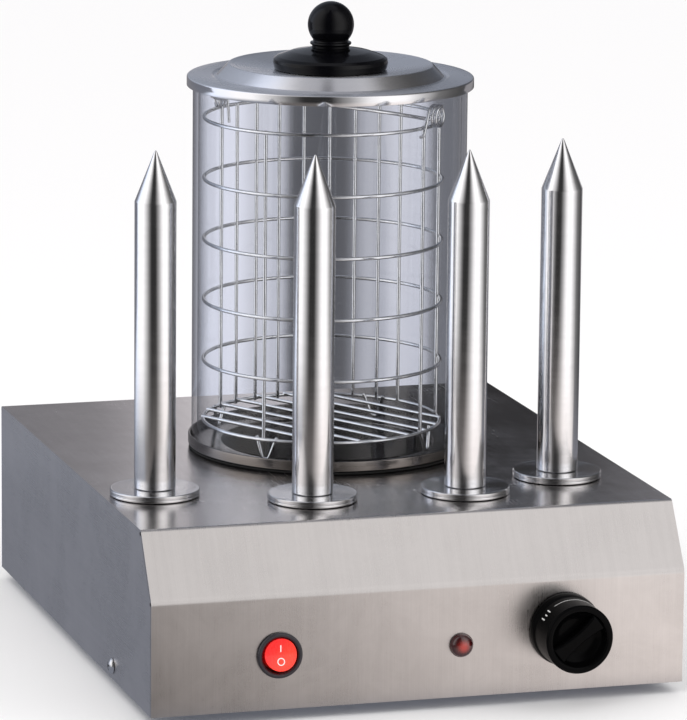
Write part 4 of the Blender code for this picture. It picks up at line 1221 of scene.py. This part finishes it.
# ================================================================ supply inlet
def inlet_rectangle(half_x, half_z):
    return rectangle((INLET_X - half_x, INLET_Z - half_z), (INLET_X + half_x, INLET_Z + half_z))


def inlet_socket():
    flange = prism_mesh("flange", fillet(inlet_rectangle(18, 13), 3.0, 6, closed=True),
                        PANEL_BACK + .3, PANEL_BACK + 2.1, "XZ", bevel=0.5)
    body = box_mesh((INLET_X - 14.2, 312, INLET_Z - 10.2),
                    (INLET_X + 14.2, DEPTH + 2.4, INLET_Z + 10.2))
    # the well's upper corners are cut off: offsets from the inlet's middle
    corners = ((-11.5, -7.5), (11.5, -7.5), (11.5, 3.5), (7.5, 7.5), (-7.5, 7.5), (-11.5, 3.5))
    outline = fillet([(INLET_X + x, INLET_Z + z) for x, z in corners], 1.2, 4, closed=True)
    well = prism_mesh("well", outline, 318, DEPTH + 8, "XZ")
    socket = carve(carve(body, [flange], "UNION"), [well])
    weigh_normals(add_part("inlet_socket", socket, "inlet", replaces="power_inlet", sharp=35))


inlet_socket()
for i, (dx, dz) in enumerate(((-7, -1.5), (0, 2.0), (7, -1.5))):
    pin = box_mesh((INLET_X + dx - 1, 305, INLET_Z + dz - 2),
                   (INLET_X + dx + 1, 331, INLET_Z + dz + 2), bevel=0.5, name="pin")
    add_part("inlet_pin_%d" % (i + 1), pin, "brass")

# ================================================================ CAD nodes that stay
CAD_MATERIALS = {
    "zinc_plate": zinc("zinc_sheet"),
    "nuts_zinc": zinc("zinc_nut"),
    "heater_sheath": bright_metal("heater_sheath", base=(0.55, 0.55, 0.56), rough=0.35),
    "screw_steel": FINISHES["screw"][0],
    "rubber": FINISHES["rubber"][0],
    "cast_aluminium": zinc("cast_aluminium", base=(0.70, 0.70, 0.71)),
    "ceramic": moulded("ceramic_block", base=(0.78, 0.76, 0.71), rough=0.5, grain=900,
                       depth=0.2, spec=0.4, vary=0.05),
    "matte_plastic": FINISHES["inlet"][0],
    "copper": bright_metal("drawn_copper", base=(0.72, 0.42, 0.30), rough=0.3),
    "lead_red": moulded("lead_sleeve_red", base=(0.42, 0.02, 0.02), rough=0.5),
    "lead_blue": moulded("lead_sleeve_blue", base=(0.02, 0.07, 0.40), rough=0.5),
}
slot_of = {part["node"]: part["material_slot"] for part in frame["record"]["subparts"]}
for node, obj in frame["nodes"].items():
    material = CAD_MATERIALS.get(slot_of.get(node))
    if material and not obj.hide_render:
        obj.data.materials.clear()
        obj.data.materials.append(material)

# ================================================================ studio (metres)
CAMERA_AT = (-0.79179, -2.63672, 0.71227)
# the room round the object: (azimuth from the front towards the right, brightness)
ROOM = ((-180, 0.38), (-142, 0.5), (-130, 1.15), (-97, 1.25), (-82, 1.2), (-65, 0.7),
        (-49, 0.2), (-39, 0.03), (-16, 0.03), (0, 0.42), (15, 1.04), (29, 1.3), (47, 1.2),
        (63, 0.65), (80, 0.2), (96, 0.12), (110, 0.08), (143, 0.1), (154, 0.27), (165, 0.33),
        (180, 0.38))
BRIGHTEST = 1.3
# painted reflection and refraction: bands of tone painted on the floor and the world where the
# camera
# # looks straight through clear glass, by bearing in degrees right of the glass's axis as seen
# from
# # the camera: (change begins, change ends, tone beyond)
BEHIND_START = 0.6
PAINTED_GLASS_BANDS = ((-3.0, -1.9, 0.22), (-1.55, -1.32, 0.85), (-1.02, -0.82, 0.64), (-0.58, -0.38, 0.12),
          (0.14, 0.45, 0.48), (0.50, 0.80, 0.66), (0.98, 1.20, 0.20), (1.9, 3.0, 0.6))


def around(net, azimuth):
    """The room's brightness by azimuth, bluish at the back and warm in front."""
    stops = []
    for angle, value in ROOM:
        tone = value / BRIGHTEST
        tint = (0.90, 0.97, 1.14) if abs(angle) > 120 else (1.01, 0.99, 0.985)
        stops.append(((angle + 180.0) / 360.0, [tone * part for part in tint]))
    return net.scale(net.colour_ramp(net.linear(azimuth, -180.0, 180.0), stops), BRIGHTEST)


def through(net, dx, dy):
    """The painted tone, standing for reflection and refraction, that clear glass shows in a plan
    direction from the camera, and whether a ray has come straight through the glass."""
    axis_x, axis_y = GLASS_X * MM - CAMERA_AT[0], (GLASS_Y - Y_MID) * MM - CAMERA_AT[1]
    cross = net.sub(net.mul(dx, axis_y), net.mul(dy, axis_x))
    dot = net.add(net.mul(dx, axis_x), net.mul(dy, axis_y))
    bearing = net.degrees(cross, dot)
    tone = BEHIND_START
    for begin, end, beyond in PAINTED_GLASS_BANDS:
        tone = net.mix_value(net.ramp(bearing, begin, end), tone, beyond)
    colour = net.scale((0.97, 0.97, 1.09), tone)
    path = net.new("ShaderNodeLightPath").outputs
    return colour, net.mul(path["Is Camera Ray"],
                           net.math("GREATER_THAN", path["Transparent Depth"], 0.5))


def stage_sheet(name, size, at, tilt=None):
    bm = bmesh.new()
    bmesh.ops.create_grid(bm, x_segments=1, y_segments=1, size=size)
    mesh = bpy.data.meshes.new(name)
    bm.to_mesh(mesh)
    bm.free()
    obj = bpy.data.objects.new(name, mesh)
    bpy.context.scene.collection.objects.link(obj)
    obj.location = at
    if tilt is not None:
        obj.rotation_euler = tilt
    return obj


def floor():
    obj = stage_sheet("floor", 14.0, (0, 0, -0.0003))
    net = Material("pale_floor", principled=False)
    path = net.new("ShaderNodeLightPath").outputs
    x, y, _ = net.split(net.geometry("Position"))
    pale = net.fed(net.new("ShaderNodeBsdfDiffuse"), (0.93, 0.93, 0.935))
    # what polished faces see in the floor: bright in front on the right, dim on the left, and
    # far off the same as the room
    front = net.ramp(y, -0.14, -0.20)
    warm = net.mix(net.linear(x, -0.17, 0.17), (0.155, 0.141, 0.135), (1.08, 1.0, 0.965))
    cool = net.mix(net.ramp(x, -0.2, 0.3), (0.235, 0.25, 0.295), (0.22, 0.22, 0.25))
    distant = net.ramp(net.length(x, y), 0.42, 0.75)
    mirrored = net.emission(net.mix(distant, net.mix(front, cool, warm),
                                    around(net, net.azimuth(x, y))))
    # seen straight through the glass, the floor shows painted bands of reflection and refraction
    tone, straight = through(net, net.sub(x, CAMERA_AT[0]), net.sub(y, CAMERA_AT[1]))
    surface = net.mix_shader(path["Is Glossy Ray"], pale, mirrored)
    obj.data.materials.append(net.output(net.mix_shader(straight, surface, net.emission(tone))))


def back_card():
    """A card low down behind the object, seen only in reflections."""
    obj = stage_sheet("back_card", 0.5, (0.10, 0.62, 0.17), (math.radians(90), 0, 0))
    obj.scale = (2.0, 0.36, 1.0)
    for kind in ("camera", "diffuse", "transmission", "shadow", "volume_scatter"):
        setattr(obj, "visible_" + kind, False)
    net = Material("back_card", principled=False)
    x = net.split(net.geometry("Position"))[0]
    # (position from x = -0.4 to 0.6, brightness); the left half is tinted blue
    tones = ((0.0, 0.20), (0.33, 0.22), (0.43, 0.30), (0.50, 0.80), (0.55, 0.85), (0.60, 0.16),
             (0.64, 0.03), (0.74, 0.03), (0.84, 0.22), (1.0, 0.30))
    stops = []
    for position, tone in tones:
        blue = max(0.0, 1.0 - position / 0.5)
        stops.append((position, (tone * (1.0 - 0.07 * blue), tone * (0.96 + 0.01 * blue),
                                 tone * (1.0 + 0.14 * blue))))
    colour = net.colour_ramp(net.linear(x, -0.4, 0.6), stops)
    obj.data.materials.append(net.output(net.emission(colour)))


def studio():
    """The world: a room for reflections, plain light for diffuse rays, white for the camera."""
    world = bpy.data.worlds.new("studio")
    bpy.context.scene.world = world
    world.use_nodes = True
    net = Nodes(world.node_tree)
    output = net.tree.nodes["World Output"]
    for node in [n for n in net.tree.nodes if n != output]:
        net.tree.nodes.remove(node)
    x, y, z = net.split(net.coords("Generated"))
    azimuth = net.azimuth(x, y)
    elevation = net.mul(net.math("ARCSINE", z), 57.2958)
    dark = net.mul(net.ramp(azimuth, -48.0, -36.0), net.ramp(azimuth, -14.0, -2.0, to=(1.0, 0.0)))
    room = net.scale(around(net, azimuth), net.ramp(elevation, 36.0, 58.0, to=(1.0, 0.88)))
    ceiling = (0.50, 0.50, 0.53)
    above = net.mix(dark, ceiling, (0.05, 0.05, 0.06))
    room = net.mix(net.ramp(elevation, 56.0, 74.0), room, above)
    room = net.mix(net.ramp(elevation, 76.0, 88.0), room, ceiling)
    # seen straight through the glass, the world shows the same painted bands of reflection and
    # refraction
    tone, straight = through(net, x, y)
    path = net.new("ShaderNodeLightPath").outputs
    colour = net.mix(path["Is Diffuse Ray"], room, (1.04, 1.03, 1.03))
    colour = net.mix(path["Is Camera Ray"], colour, (0.99, 0.99, 0.99))
    colour = net.mix(straight, colour, tone)
    net.put(output.inputs[0], net.fed(net.new("ShaderNodeBackground"), colour))


def area_light(name, at, size, power, colour):
    """A square light aimed at the housing, itself unseen in reflections."""
    data = bpy.data.lights.new(name, "AREA")
    data.shape, data.size, data.energy, data.color = "SQUARE", size, power, colour
    obj = bpy.data.objects.new(name, data)
    bpy.context.scene.collection.objects.link(obj)
    obj.location = at
    aim = Vector((0, 0, 0.1)) - Vector(at)
    obj.rotation_euler = aim.to_track_quat("-Z", "Y").to_euler()
    obj.visible_glossy = False


def camera():
    data = bpy.data.cameras.new("camera")
    obj = bpy.data.objects.new("camera", data)
    bpy.context.scene.collection.objects.link(obj)
    data.lens, data.sensor_width, data.sensor_fit = 262.965, 36.0, "AUTO"
    data.clip_start, data.clip_end = 0.05, 50.0
    azimuth, elevation, roll = -0.29311, 0.20051, 0.00992      # radians
    back = Vector((math.sin(azimuth) * math.cos(elevation),
                   -math.cos(azimuth) * math.cos(elevation), math.sin(elevation)))
    level = (-back).cross(Vector((0, 0, 1))).normalized()
    upward = level.cross(-back)
    right = level * math.cos(roll) + upward * math.sin(roll)
    up = -level * math.sin(roll) + upward * math.cos(roll)
    rows = [(right[i], up[i], back[i], CAMERA_AT[i]) for i in range(3)]
    obj.matrix_world = Matrix((*rows, (0, 0, 0, 1)))
    bpy.context.scene.camera = obj


floor()
back_card()
studio()
area_light("key", at=(-0.9, -1.1, 1.5), size=0.7, power=5.0, colour=(1.0, 0.99, 0.98))
area_light("fill", at=(1.1, -0.9, 0.9), size=0.9, power=3.0, colour=(1.0, 0.98, 0.96))
camera()
bpy.context.scene.view_settings.view_transform = "Standard"
bpy.context.scene.view_settings.look = "None"
